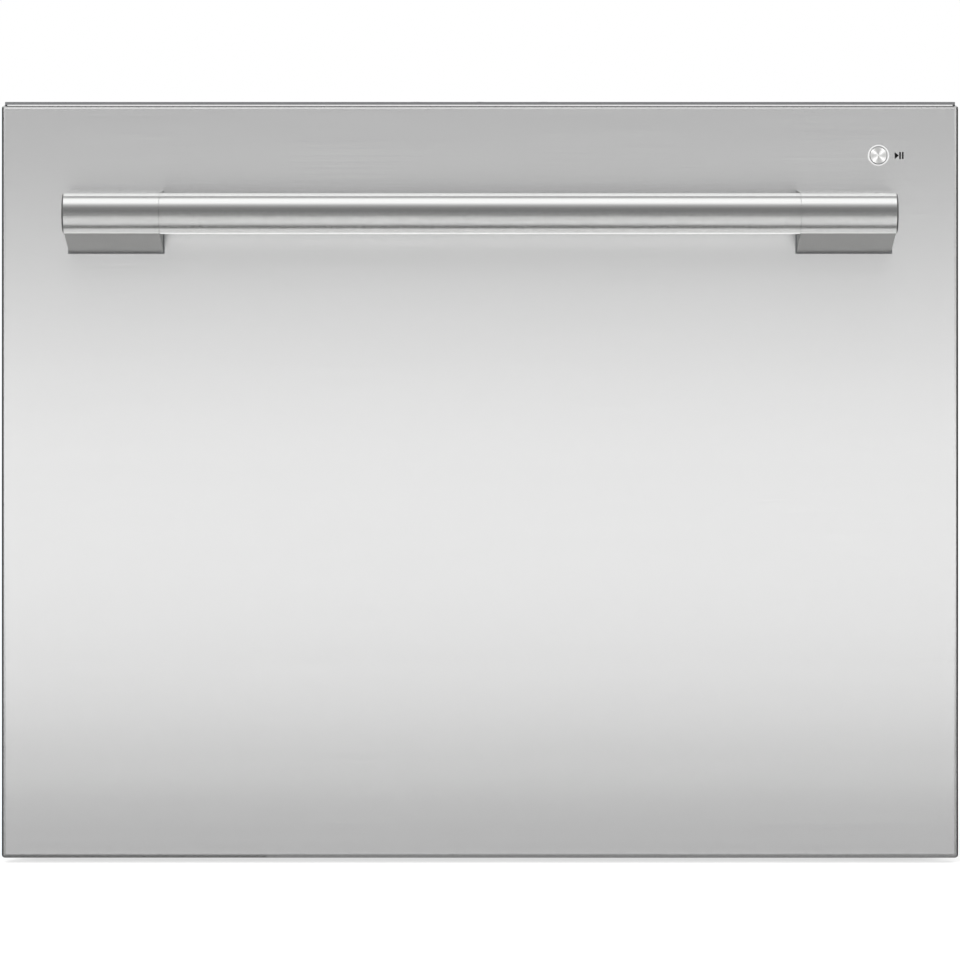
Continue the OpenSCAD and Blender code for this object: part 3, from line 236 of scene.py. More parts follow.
def cut(obj, *tools):
    """Takes the tools' shapes out of obj."""
    for tool in tools:
        applied(obj, "BOOLEAN", object=tool, operation="DIFFERENCE", solver="EXACT")
        bpy.data.objects.remove(tool)
    return obj


def plate(name, low, high, edge, segments=3):
    """A moulded block with broken edges."""
    return rounded(block(name, low, high), edge, segments, 60)


def both(test):
    """An edge passes when both its ends do."""
    return lambda a, b: test(a) and test(b)


def bead(name, start, end, width, height, out):
    """A pressed stiffening bead with round ends and gently sloped sides, standing this high on a sheet.
    Taken out of a sheet with cut, it is a groove this deep."""
    start, end = Vector(start), Vector(end)
    steep = 2 * height
    length = (end - start).length
    obj = block(name, (-width / 2, -steep, -width / 2), (width / 2, steep, length + width / 2))
    bevel_some(obj, lambda a, b: abs(a.y - b.y) > steep, width * 0.49, 6)
    for rim in (-1, 1):
        bevel_some(obj, both(lambda tip: rim * tip.y > steep * 0.99), steep * 0.85, 2)
    out = Vector(out)
    along = (end - start).normalized()
    side = out.cross(along)
    obj.data.transform(moved(*start) @ Matrix((side, out / 2, along)).transposed().to_4x4())
    return smooth(in_edit(obj, (bpy.ops.mesh.normals_make_consistent, {"inside": False})), 40)


def on_some(obj, kind, test, operator, **settings):
    """Runs a mesh operator on the faces, or on the edges by their two ends, that pass the test."""
    pick(obj)
    bpy.ops.object.mode_set(mode="EDIT")
    bpy.ops.mesh.select_mode(type=kind)
    bpy.ops.mesh.select_all(action="DESELECT")
    bpy.ops.object.mode_set(mode="OBJECT")
    if kind == "FACE":
        for face in obj.data.polygons:
            face.select = test(face)
    else:
        for edge in obj.data.edges:
            edge.select = test(*[obj.data.vertices[v].co for v in edge.vertices])
    bpy.ops.object.mode_set(mode="EDIT")
    operator(**settings)
    bpy.ops.mesh.select_mode(type="VERT")
    bpy.ops.object.mode_set(mode="OBJECT")
    return obj


def bevel_some(obj, test, width, segments):
    """Rounds the edges that pass the test."""
    return on_some(obj, "EDGE", test, bpy.ops.mesh.bevel, offset=width, segments=segments, affect="EDGES")


def faces_out(obj, test):
    """Deletes the faces that pass the test."""
    return on_some(obj, "FACE", test, bpy.ops.mesh.delete, type="FACE")


def parted(obj, name, test):
    """Takes the faces that pass the test off obj, into a piece of their own."""
    on_some(obj, "FACE", test, bpy.ops.mesh.separate, type="SELECTED")
    return titled([other for other in bpy.context.selected_objects if other != obj][0], name)


def painted(obj, material, test):
    """Gives the faces that pass the test a second finish."""
    obj.data.materials.append(material)
    for face in obj.data.polygons:
        if test(face):
            face.material_index = len(obj.data.materials) - 1
    return obj


def upright(a, b):
    """An edge that stands straight up."""
    return abs(a.x - b.x) < 1e-6 and abs(a.y - b.y) < 1e-6


def cross_screw(name, out, radius, height):
    """A pan-head screw with a cross recess, its head pointing out. Its sizes are in millimetres."""
    head = turned(name, [
        (0, -0.5 * height), (radius, -0.5 * height), (radius, 0.25 * height), (radius * 0.85, 0.75 * height),
        (radius * 0.5, height), (0, height)], (0, 0, 0), 24, sharp=0)
    arm, slit, deep = radius * 0.55 * MM, radius * 0.12 * MM, height * 0.4 * MM
    for x, y in ((arm, slit), (slit, arm)):
        cut(head, block(name + "_slot", (-x, -y, deep), (x, y, 2 * height * MM)))
    head.data.transform(Vector((0, 0, 1)).rotation_difference(Vector(out)).to_matrix().to_4x4())
    return smooth(head, 35)


def middle(node):
    """The middle of a CAD node's box."""
    return [(low + high) / 2 for low, high in zip(*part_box(node))]


# ---------------------------------------------------------------- finishes


def colour(code):
    """A hex sRGB colour as linear light."""
    parts = [int(code[i:i + 2], 16) / 255 for i in (1, 3, 5)]
    return (*[p / 12.92 if p <= 0.04045 else ((p + 0.055) / 1.055) ** 2.4 for p in parts], 1.0)


def add(tree, kind, values=None, links=None, **settings):
    """Adds a node with its settings, socket values and links."""
    item = tree.nodes.new(kind)
    for name, value in settings.items():
        setattr(item, name, value)
    for name, value in (values or {}).items():
        item.inputs[name].default_value = value
    for name, source in (links or {}).items():
        tree.links.new(source, item.inputs[name])
    return item


def new_material(name):
    """A material, its node tree and its main shader."""
    material = bpy.data.materials.new(name)
    material.use_nodes = True
    return material, material.node_tree, material.node_tree.nodes["Principled BSDF"]


def finish(slot, name, dark, light, rough, grain, stretch=(1, 1, 1), relief=0.0, spots=False, **shader):
    """A finish with a grain this large, in millimetres, that varies its colour and roughness.
    relief is the grain's height in millimetres, and spots gives crystals in place of soft noise.
    slot is the part's own material that it stands for."""
    material, tree, surface = new_material(name)
    material["slot"] = slot
    for socket, value in shader.items():
        surface.inputs[socket.replace("_", " ")].default_value = value
    place = add(tree, "ShaderNodeTexCoord").outputs["Object"]
    scale = [s / (grain * MM) for s in stretch]
    place = add(tree, "ShaderNodeMapping", {"Scale": scale}, {"Vector": place}).outputs["Vector"]
    if spots:
        cells = add(tree, "ShaderNodeTexVoronoi", {"Scale": 1.0, "Randomness": 1.0}, {"Vector": place})
        pattern = add(tree, "ShaderNodeSeparateColor", {}, {"Color": cells.outputs["Color"]}).outputs["Red"]
        low, high = 0.0, 1.0
    else:
        noise = {"Scale": 1.0, "Detail": 3.0, "Roughness": 0.55}
        pattern = add(tree, "ShaderNodeTexNoise", noise, {"Vector": place}).outputs["Fac"]
        low, high = 0.3, 0.7
    spread = add(tree, "ShaderNodeMapRange", {"From Min": low, "From Max": high}, {"Value": pattern})
    mix = spread.outputs["Result"]
    tones = {"A": colour(dark), "B": colour(light)}
    tint = add(tree, "ShaderNodeMix", tones, {"Factor": mix}, data_type="RGBA")
    tree.links.new(tint.outputs["Result"], surface.inputs["Base Color"])
    depth = add(tree, "ShaderNodeMapRange", {"To Min": rough[0], "To Max": rough[1]}, {"Value": mix})
    tree.links.new(depth.outputs["Result"], surface.inputs["Roughness"])
    if relief:
        bump = add(tree, "ShaderNodeBump", {"Strength": 1.0, "Distance": relief * MM}, {"Height": mix})
        tree.links.new(bump.outputs["Normal"], surface.inputs["Normal"])
    return material


def dressed(obj, material):
    """Gives obj its finish and that finish's slot."""
    obj.data.materials.clear()
    obj.data.materials.append(material)
    return obj


def dress(obj, material, body, *replaced):
    """Gives obj its finish and the body it rides on, and hides the CAD nodes that it stands for."""
    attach(dressed(obj, material), body)
    if replaced:
        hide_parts(*replaced)
    return obj


def brushed(material, axis, turn):
    """The grinding lines' direction, for metal whose highlights spread across them."""
    tree = material.node_tree
    line = add(tree, "ShaderNodeTangent", direction_type="RADIAL", axis=axis)
    surface = tree.nodes["Principled BSDF"]
    tree.links.new(line.outputs["Tangent"], surface.inputs["Tangent"])
    surface.inputs["Anisotropic Rotation"].default_value = turn
    return material


# Ground stainless sheet: fine lines along the front's width draw highlights out upwards and downwards.
# Real lines are 0.1 mm apart, drawn 0.9 mm apart so that they show.
GROUND_LINES = 0.9
sheet_steel = brushed(finish(
    "brushed_stainless", "ground_stainless_sheet", "#d6d6d6", "#d9d9d9", (0.257, 0.263), GROUND_LINES,
    (0.006, 0.5, 1.0), Metallic=1.0, Anisotropic=0.7), "Z", 0.25)
# Satin stainless tube: brushed lengthwise, so that reflections run as clean bands.
tube_steel = brushed(finish(
    "satin_stainless", "satin_stainless_tube", "#e9e9e8", "#edeeed", (0.205, 0.22), 0.6, (0.01, 1.0, 1.0),
    Metallic=1.0, Anisotropic=0.3), "X", 0.0)
# The same metal bead-blasted on the underside of the feet, its colour darkened there as painted shade.
blasted_shaded_steel = finish(
    "satin_stainless", "bead_blasted_stainless_painted_shade", "#c1c1c0", "#cacac9", (0.36, 0.44), 0.8, relief=0.01,
    Metallic=1.0)
# A dark copy of the same metal: painted shade on the feet's slanted outer faces and lower inner faces.
foot_shade_steel = finish(
    "satin_stainless", "stainless_painted_shade", "#5e5e5d", "#6a6a69", (0.3, 0.38), 0.7, Metallic=1.0)
# The front's side bends take a dark copy of the sheet: painted shade beside its bright face.
side_bend_shade = finish(
    "brushed_stainless", "side_bend_painted_shade", "#262626", "#303030", (0.4, 0.5), GROUND_LINES, Metallic=1.0)
# The upper bend takes a darker copy of the sheet: painted shade that tones down its highlight.
upper_bend_shade = finish(
    "brushed_stainless", "upper_bend_painted_shade", "#a8a8a8", "#aeaeae", (0.26, 0.3), GROUND_LINES, Metallic=1.0)
# Polished chrome ring: a mirror with a trace of haze.
chrome = finish("bright_ring", "polished_chrome", "#f0f0f0", "#f6f6f6", (0.05, 0.09), 2.0, Metallic=1.0)
# Spun aluminium cap: turning marks in rings draw highlights into a cross of light.
spun_cap = brushed(finish(
    "spun_metal", "spun_aluminium", "#c2c2c1", "#d6d6d5", (0.44, 0.54), 0.35, Metallic=1.0,
    Anisotropic=0.9), "Y", 0.25)
# Printed ink: matt and nearly black.
ink = finish(
    "black_ink", "screen_print_ink", "#070708", "#0e0e0f", (0.5, 0.6), 0.5, Specular_IOR_Level=0.15)
# Moulded ABS in dark grey: fine spark-eroded grain, half matt.
strip_plastic = finish(
    "strip_plastic", "moulded_abs_anthracite", "#7f8082", "#8d8e90", (0.42, 0.5), 0.5, relief=0.01)
button_plastic = finish(
    "strip_button_plastic", "moulded_abs_button", "#4a4b4d", "#525355", (0.22, 0.3), 0.8, relief=0.004)
# Hot-dip galvanised sheet: crystals of zinc 9 mm across with different shine.
galvanised = finish(
    "galvanised_steel", "galvanised_sheet", "#bbbfc1", "#c6cacc", (0.36, 0.46), 9.0, spots=True,
    Metallic=0.85)
# Zinc-plated runner steel: plain rolled surface with a faint drift in tone.
runner_steel = finish(
    "runner_steel", "zinc_plated_steel", "#c9cdd0", "#cfd3d6", (0.29, 0.32), 9.0, (0.6, 0.1, 0.6),
    Metallic=1.0)
# Glass-filled polypropylene: matt dark grey with a grain of 0.6 mm.
frame_plastic = finish(
    "frame_plastic", "moulded_polypropylene_dark", "#3a3b3d", "#454648", (0.5, 0.62), 0.6, relief=0.02)
# EPDM rubber: black, dull and slightly mottled.
rubber = finish("black_rubber", "epdm_rubber", "#161617", "#202021", (0.6, 0.75), 1.2, relief=0.02)
# Silicone rubber: softer and paler, with a low sheen.
soft_seal = finish(
    "grey_rubber", "silicone_rubber_grey", "#5a5b5d", "#686a6c", (0.45, 0.58), 1.5, relief=0.02)
# Extruded polyethylene: grey, waxy, half matt.
hose_plastic = finish(
    "hose_plastic", "corrugated_polyethylene", "#63656a", "#74767b", (0.4, 0.5), 1.5, relief=0.02)
# Tub polymer: cool light grey, semi matt, with flow marks some centimetres long.
tub_plastic = finish(
    "tub_plastic", "moulded_polypropylene_grey", "#a9abad", "#b4b6b7", (0.36, 0.46), 14.0, (1, 1, 0.4),
    relief=0.02)
# The other mouldings: spark-eroded grain of 1 to 2 mm, half matt, and the flap and cap smoother.
backing_plastic = finish(
    "backing_plastic", "moulded_abs_grey", "#8a8c8e", "#949698", (0.48, 0.56), 1.0, relief=0.02)
white_plastic = finish(
    "white_plastic", "moulded_polyamide_white", "#dcdcd8", "#e6e6e2", (0.35, 0.45), 2.0, relief=0.01)
grey_plastic = finish(
    "grey_plastic", "moulded_polypropylene_mid", "#75787c", "#82858a", (0.35, 0.45), 2.0, relief=0.015)
flap_plastic = finish(
    "dispenser_lid_plastic", "moulded_flap_light", "#b0b3b5", "#bcbfc1", (0.28, 0.36), 2.0, relief=0.01)
blue_plastic = finish(
    "blue_plastic", "moulded_cap_blue", "#3f6196", "#4a6da3", (0.3, 0.4), 2.0, relief=0.01)
foot_plastic = finish(
    "foot_plastic", "moulded_polyamide_black", "#28292b", "#323335", (0.45, 0.58), 1.0, relief=0.02)
# Cold-rolled stainless, unground: soft reflections with a rolled drift.
plain_steel = finish(
    "plain_stainless", "cold_rolled_stainless", "#c9c9c8", "#d5d5d4", (0.22, 0.32), 12.0, (1.0, 0.08, 1.0),
    Metallic=1.0)
# Nylon-coated wire: thick, soft, satin coating.
coated_wire = finish(
    "rack_coating", "nylon_coated_wire", "#6b6e72", "#787b7f", (0.38, 0.46), 3.0, relief=0.02)
coated_tines = finish(
    "tine_coating", "nylon_coated_tines", "#8a8f97", "#979ca3", (0.38, 0.46), 3.0, relief=0.02)
# Solder mask over glass-fibre board: smooth green lacquer.
board_green = finish(
    "board_green", "solder_mask_green", "#1c5a35", "#246a3f", (0.25, 0.4), 1.5, relief=0.01)

# ---------------------------------------------------------------- pieces that keep the CAD shape, softened

SOFTENED = [
    # node, body, finish, edge in millimetres
    ("front_panel", "drawer", sheet_steel, 0.15),
    ("front_backing", "drawer", backing_plastic, 0.4),
    ("top_strip", "drawer", strip_plastic, 0.3),
    ("handle_bar", "drawer", tube_steel, 0.5),
    ("handle_end_left", "drawer", tube_steel, 0.6),
    ("handle_end_right", "drawer", tube_steel, 0.6),
    ("handle_screws", "drawer", runner_steel, 0.3),
    ("switch_boards", "drawer", board_green, 0.1),
    ("start_symbol", "drawer", ink, 0.0),
    ("runner_inner_left", "drawer", runner_steel, 0.4),
    ("runner_inner_right", "drawer", runner_steel, 0.4),
    ("filter_plate", "drawer", plain_steel, 0.3),
    ("drain_filter", "drawer", grey_plastic, 0.4),
    ("heater_plate", "drawer", plain_steel, 0.5),
    ("detergent_dispenser", "drawer", grey_plastic, 0.5),
    ("cutlery_basket", "drawer", coated_tines, 0.6),
    ("strip_button_left", "strip_button_left", button_plastic, 0.25),
    ("strip_button_middle", "strip_button_middle", button_plastic, 0.25),
    ("strip_button_right", "strip_button_right", button_plastic, 0.25),
    ("pump_rotor", "pump_rotor", white_plastic, 0.3),
    ("detergent_door", "detergent_door", flap_plastic, 0.5),
    ("runner_middle_left", "runner_middle_left", runner_steel, 0.3),
    ("runner_middle_right", "runner_middle_right", runner_steel, 0.3),
    ("runner_outer_left", "chassis", runner_steel, 0.4),
    ("runner_outer_right", "chassis", runner_steel, 0.4),
    ("chassis_side_left", "chassis", galvanised, 0.3),
    ("chassis_side_right", "chassis", galvanised, 0.3),
    ("chassis_top", "chassis", galvanised, 0.3),
    ("base_pan", "chassis", galvanised, 0.3),
    ("back_panel", "chassis", galvanised, 0.3),
    ("front_frame", "chassis", frame_plastic, 0.5),
    ("front_gasket", "chassis", rubber, 1.2),
    ("lid_actuators", "chassis", frame_plastic, 0.8),
    ("service_box", "chassis", frame_plastic, 0.5),
    ("inlet_valve", "chassis", white_plastic, 0.8),
    ("drain_outlet", "chassis", grey_plastic, 0.6),
    ("cable_gland", "chassis", frame_plastic, 0.5),
    ("controller_box", "chassis", frame_plastic, 1.0),
    ("flood_sensor", "chassis", white_plastic, 0.8),
    ("lid_panel", "lid", tub_plastic, 0.8),
    ("lid_seal", "lid", soft_seal, 1.5),
    ("lid_links", "lid", runner_steel, 0.4),
]

pieces = {}
for node, body, material, edge in SOFTENED:
    piece = from_cad(node, node + "_piece")
    if edge:
        rounded(piece, edge, 2)
    else:
        smooth(piece)
    dress(piece, material, body, node)
    pieces[node] = piece

# ---------------------------------------------------------------- front, strip and handle

PANEL_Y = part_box("front_panel")[0].y
PANEL_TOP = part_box("front_panel")[1].z
BAR_Y, BAR_Z = middle("handle_bar")[1:]
BAR_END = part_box("handle_bar")[1].x
BAR_R = (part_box("handle_bar")[1].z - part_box("handle_bar")[0].z) / 2

# The flanges behind the front's ground face
FOLD = 2.8 * MM
flanges = parted(pieces["front_panel"], "front_flanges_piece",
                 lambda face: face.center.y > PANEL_Y + FOLD or face.normal.y > 0.3)
dress(flanges, sheet_steel, "drawer")
# The front's side bends turn further sideways than this
SIDEWAYS = 0.66
# Painted shade: the side bends take a dark copy of the sheet
painted(pieces["front_panel"], side_bend_shade, lambda face: abs(face.normal.x) > SIDEWAYS)
# Painted shade: the upper bend takes a darker copy of the sheet
painted(pieces["front_panel"], upper_bend_shade,
        lambda face: face.normal.z > 0.3 and abs(face.normal.x) <= SIDEWAYS)

# A bright bead between the strip and the front's upper bend
strip_low, strip_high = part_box("top_strip")
bead_end = strip_high.x - 1.5 * MM
strip_bead = plate("strip_bead_piece", (-bead_end, strip_low.y - 0.05 * MM, PANEL_TOP - 0.6 * MM),
                   (bead_end, strip_low.y + 2 * MM, PANEL_TOP + 0.3 * MM), 0.2, 2)
dress(strip_bead, chrome, "drawer")

# The handle's feet and ends, and the thin pads that they stand on, which show round the feet as painted
# shade: the dark line where they meet the front
FOOT_W = 59 * MM
FOOT_Z = BAR_Z - 22.6 * MM
SHADE_PAD = 0.8 * MM
for side, node in ((-1, "handle_end_left"), (1, "handle_end_right")):
    # The foot is all of the end piece that isn't the round sleeve
    foot = parted(pieces[node], node.replace("end", "foot") + "_piece", lambda face: abs(math.hypot(
        face.center.y - BAR_Y, face.center.z - BAR_Z) - BAR_R) > 0.3 * MM or abs(face.normal.x) > 0.5)
    dress(foot, tube_steel, "drawer")
    # Its underside is blasted and darkened, and its slanted outer faces and the lower ones inside are
    # darkened: painted shade
    painted(foot, blasted_shaded_steel, lambda face: face.normal.z < -0.5 and face.center.y > BAR_Y + 4 * MM)
    painted(foot, foot_shade_steel, lambda face: 0.2 < side * face.normal.x < 0.95 or (
        side * face.normal.x < -0.2 and face.center.z < BAR_Z))
    # Painted shade: this pad peeks out round the foot's base, where it draws the shadow line against the
    # front
    x0, x1 = sorted((side * (BAR_END - SHADE_PAD), side * (BAR_END + FOOT_W + SHADE_PAD)))
    pad = block(node.replace("end", "pad") + "_piece", (x0, PANEL_Y - SHADE_PAD, FOOT_Z - SHADE_PAD),
                (x1, PANEL_Y, BAR_Z))
    cut(pad, block("window", (x0 + 2 * SHADE_PAD, PANEL_Y - 2 * SHADE_PAD, FOOT_Z + SHADE_PAD),
                   (x1 - 2 * SHADE_PAD, PANEL_Y + SHADE_PAD, BAR_Z - SHADE_PAD)))
    dress(rounded(pad, 0.25, 2, 60), backing_plastic, "drawer")

# ---------------------------------------------------------------- start button

BUTTON = middle("start_button")
button_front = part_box("start_button")[0].y
ring_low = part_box("button_ring")[0]
# In millimetres: the ring's radius and bore, its sleeve behind the front, and its reach before the front
radius = (BUTTON[0] - ring_low.x) / MM
bore, sleeve, behind, front = 5.6, 6.35, -3.2, 0.6
ring = turned("button_ring_piece", [
    (bore, behind), (sleeve, behind), (sleeve, 0), (radius, 0), (radius, 0.4), (radius - 0.06, 0.54),
    (radius - 0.2, front), (bore + 0.1, front), (bore + 0.03, front - 0.03), (bore, front - 0.1)],
    (BUTTON[0], ring_low.y + front * MM, BUTTON[2]), 96, sharp=40, forward=True)
dress(ring, chrome, "drawer", "button_ring")

# The cap and its collar, which holds it behind the ring's sleeve
cap, collar, cap_back, collar_top = 5.3, 6.95, -6.9, -4.6
start_cap = turned("start_button_piece", [
    (0, cap_back), (collar, cap_back), (collar, collar_top), (cap, collar_top), (cap, -0.35),
    (cap - 0.1, -0.12), (cap - 0.3, 0), (0.45, -0.05), (0, -0.05)],
    (BUTTON[0], button_front, BUTTON[2]), 96, sharp=30, forward=True)
dress(start_cap, spun_cap, "start_button", "start_button")

# ---------------------------------------------------------------- tub

low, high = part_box("tub")
rim = high.z
TUB_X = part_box("runner_inner_right")[0].x - 9.1 * MM
TUB_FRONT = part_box("front_backing")[1].y + 14 * MM
TUB_BACK = TUB_FRONT + 470 * MM
MID_Y = (TUB_FRONT + TUB_BACK) / 2
UNDER = 82 * MM
WALL = 4 * MM
FLOOR = UNDER + WALL
RUNNER_Z = middle("runner_outer_left")[2]

# The shell: an open box with round upright corners and a rounded floor edge, one wall thick
CORNER = 35 * MM
FLOOR_EDGE = 13 * MM
SUMP_R = 125
PAST = 20 * MM
shell = block("tub_shell", (-TUB_X, TUB_FRONT, UNDER), (TUB_X, TUB_BACK, rim - 0.4 * MM))
bevel_some(shell, upright, CORNER, 10)
bevel_some(shell, both(lambda tip: tip.z < UNDER + MM), FLOOR_EDGE, 5)
faces_out(shell, lambda face: face.normal.z > 0.9)
applied(shell, "SOLIDIFY", thickness=WALL, offset=-1)
hole = rod("sump_hole", (0, MID_Y, UNDER - PAST), (0, MID_Y, FLOOR + PAST), SUMP_R * MM, 96)
smooth(cut(shell, hole), 35)
# The sump: a turned bowl under that hole, with a seat for the pump's seal
sump = turned("sump", [
    (22, 62), (118, 62), (124, 64), (128, 69), (129, 75), (129, 85), (127.5, 86.4), (SUMP_R + 0.4, 85.6),
    (SUMP_R, 84), (SUMP_R, 74), (123, 69), (118, 66), (30, 66), (28, 65.2), (22, 65.2)], (0, MID_Y, 0), 96)
# The lip round the rim
LIP = 3 * MM
lip = block("tub_lip", (-TUB_X - LIP, TUB_FRONT - LIP, rim - 4 * MM), (TUB_X + LIP, TUB_BACK + LIP, rim))
bevel_some(lip, upright, CORNER + LIP, 10)
faces_out(lip, lambda face: abs(face.normal.z) > 0.9)
applied(lip, "SOLIDIFY", thickness=7.3 * MM, offset=-1)
rounded(lip, 1.1, 3, 60)
tub_parts = [shell, sump, lip]


def tub_rib(name, x, y, z, edge, segments=2):
    """A moulded rib or pad on the tub between two places along each axis."""
    tub_parts.append(plate(name, (x[0], y[0], z[0]), (x[1], y[1], z[1]), edge, segments))


def around(place, half):
    """The two places this far before and after one."""
    return place - half * MM, place + half * MM


RIB = 1.2
RAIL_RIBS, RAIL_RIB = 14, 1.5
SIDE_RIBS, SIDE_PITCH = 8, 54.3 * MM
for side in (-1, 1):
    # Rails that carry the tub on its runners, with cores between their ribs
    rail = (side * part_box("runner_inner_right")[0].x, side * (TUB_X - 1 * MM))
    for top in (-1, 1):
        tub_rib("rail", rail, (TUB_FRONT + 17.5 * MM, TUB_BACK - 17.5 * MM),
                around(RUNNER_Z + top * 12.3 * MM, RAIL_RIB), 0.4)
    for k in range(RAIL_RIBS):
        y = TUB_FRONT + 19 * MM + k * (TUB_BACK - TUB_FRONT - 38 * MM) / (RAIL_RIBS - 1)
        tub_rib("rail_rib", rail, around(y, RAIL_RIB), around(RUNNER_Z, 13), 0.3)
    # Upright ribs on the outside of the side walls, above and below the rails
    for k in range(SIDE_RIBS):
        y = TUB_FRONT + 45 * MM + k * SIDE_PITCH
        for z in ((100 * MM, RUNNER_Z - 24 * MM), (RUNNER_Z + 24 * MM, rim - 12 * MM)):
            tub_rib("side_rib", around(side * TUB_X, 1.8), around(y, RIB), z, 0.7)
    # Pads that the front is screwed to
    for z in (130 * MM, rim - 45 * MM):
        tub_rib("front_pad", around(side * (TUB_X - 86 * MM), 30),
                (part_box("front_backing")[1].y, TUB_FRONT + 1 * MM), around(z, 15), 2.0, 3)
# Ribs across the back wall, clear of the hoses
back_rib = (TUB_BACK - 1 * MM, TUB_BACK + 1.8 * MM)
for x in (50 * MM, 105 * MM, 160 * MM, 215 * MM):
    tub_rib("back_rib", around(x, RIB), back_rib, (100 * MM, rim - 12 * MM), 0.7)
tub_rib("back_band", (-120 * MM, 240 * MM), back_rib, (230 * MM, 234 * MM), 0.7)
# Elbows for the hoses and the loom at the back
for x in (-152 * MM, -86 * MM, -26 * MM):
    tub_rib("elbow", around(x, 13), (TUB_BACK - 1 * MM, TUB_BACK + 28 * MM), (88 * MM, 108 * MM), 4.0, 4)
    tub_parts.append(turned("elbow_socket", [(0, 100), (11, 100), (11, 111), (10.2, 112), (0, 112)],
                            (x, TUB_BACK + 17 * MM, 0), 40))
# Overflow grating inside the back wall: a raised ring with seven bars
GRATE_X, GRATE_Y, GRATE_Z = 165 * MM, TUB_BACK - WALL, 372 * MM
GRATE_R, BAR_PITCH = 25, 6.4
tub_parts.append(turned("grating_ring", [
    (24, -1), (28, -1), (28, 1.4), (27.2, 2.2), (24.8, 2.2), (24, 1.4)],
    (GRATE_X, GRATE_Y, GRATE_Z), forward=True))
for k in range(-3, 4):
    half = math.sqrt(GRATE_R ** 2 - (k * BAR_PITCH) ** 2)
    tub_rib("grating_bar", around(GRATE_X + k * BAR_PITCH * MM, RIB),
            (GRATE_Y - 1.6 * MM, GRATE_Y + 0.5 * MM), around(GRATE_Z, half), 0.5)


def floor_bead(name, x, margin, width, height):
    """A low bead along the tub's floor, ending this far from the walls. Its sizes are in millimetres."""
    tub_parts.append(bead(name, (x, TUB_FRONT + margin * MM, FLOOR), (x, TUB_BACK - margin * MM, FLOOR),
                          width * MM, height * MM, (0, 0, 1)))


# Low ribs that the basket's feet run between, and ribs that stiffen the floor
for side in (-1, 1):
    for x in (246 * MM, 262 * MM):
        floor_bead("foot_track", side * x, 26, 4, 1.6)
    for k in range(3):
        floor_bead("floor_bead", side * (158 + 26 * k) * MM, 60, 8, 1.2)
dress(joined("tub_piece", tub_parts), tub_plastic, "drawer", "tub")

# ---------------------------------------------------------------- basket of coated wire

low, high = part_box("basket")
HALF = (high.x - low.x) / 2
FRONT, BACK = low.y, high.y
EDGE_X, EDGE_F, EDGE_B = HALF - 2.5 * MM, FRONT + 2.5 * MM, BACK - 2.5 * MM
# The heights of the basket's floor and rim
WIRE_Z = 117 * MM
RIM_Z = 235.5 * MM
RIM_WIRE, WIRE, TINE, SHAFT = 2.5 * MM, 1.9 * MM, 1.75 * MM, 2 * MM


def loop(name, z, radius):
    """A closed wire round the basket at this height."""
    return wire(name, [(-EDGE_X, EDGE_F, z), (EDGE_X, EDGE_F, z), (EDGE_X, EDGE_B, z), (-EDGE_X, EDGE_B, z)],
                radius, closed=True, bend=18 * MM, sides=3)


def hoop(name, start, end, low):
    """A wire from rim to rim that crosses the basket's floor at this height."""
    return wire(name, [(*start, RIM_Z), (*start, low), (*end, low), (*end, RIM_Z)], WIRE, bend=12 * MM)


basket_parts = [loop("rim_wire", RIM_Z, RIM_WIRE), loop("waist_wire", 178 * MM, WIRE),
                loop("foot_wire", 123.5 * MM, WIRE)]
# Hoops across and from front to back
INSET = 4.2 * MM
side_x, front_y, back_y = EDGE_X - INSET, EDGE_F + INSET, EDGE_B - INSET
across, along = 12, 11
for k in range(across):
    y = FRONT + 26 * MM + k * (BACK - FRONT - 52 * MM) / (across - 1)
    basket_parts.append(hoop("cross_hoop", (-side_x, y), (side_x, y), WIRE_Z + 1.0 * MM))
for k in range(along):
    x = (k - (along - 1) / 2) * 46 * MM
    basket_parts.append(hoop("long_hoop", (x, front_y), (x, back_y), WIRE_Z - 2.7 * MM))
# Corner feet with a broad pad and a neck
for side in (-1, 1):
    for y in (EDGE_F, EDGE_B):
        basket_parts.append(turned("basket_foot", [
            (0, 0), (2.4, 0), (3.3, 1), (3.4, 6), (2.4, 9), (2.2, 34), (3.2, 36), (3.2, 40), (0, 40)],
            (side * (EDGE_X - 2.0 * MM), y, FLOOR), 20, sharp=40))
dress(joined("basket_piece", basket_parts), coated_wire, "drawer", "basket")

# Moulded clips that the folding pieces turn in
ROW_Z = 122.3 * MM
HINGE_X, HINGE_Z = 249 * MM, 244.5 * MM
BORE = 2.1 * MM
clips = []
for node in ("folding_tines_front", "folding_tines_rear"):
    y = middle(node)[1]
    for x in (-5 * MM, 205 * MM):
        clip = plate("row_clip", (x - 4 * MM, y - 5 * MM, 119.9 * MM),
                     (x + 4 * MM, y + 5 * MM, 127.3 * MM), 0.9)
        hole = rod("bore", (x - 9 * MM, y, ROW_Z), (x + 9 * MM, y, ROW_Z), BORE, 24)
        clips.append(smooth(cut(clip, hole), 35))
for side in (-1, 1):
    hinge = side * HINGE_X
    for y in (MID_Y - 105 * MM, MID_Y + 105 * MM):
        clip = plate("rack_clip", (side * 244 * MM, y - 4 * MM, 231 * MM),
                     (side * HALF, y + 4 * MM, 249.5 * MM), 1.2)
        hole = rod("bore", (hinge, y - 9 * MM, HINGE_Z), (hinge, y + 9 * MM, HINGE_Z), BORE, 24)
        clips.append(smooth(cut(clip, hole), 35))
dress(joined("basket_clips_piece", clips), grey_plastic, "drawer")


def bar(name, start, end, radius, sides=12, tip=0.0):
    """A smooth coated rod."""
    return smooth(rod(name, start, end, radius, sides, tip), 40)


def tine(name, x, y, low, high):
    """An upright tine with a round tip."""
    obj = rod(name, (x, y, low), (x, y, high), TINE, 12)
    return smooth(bevel_some(obj, both(lambda end: end.z > high - 0.1 * MM), TINE * 0.9, 4), 40)


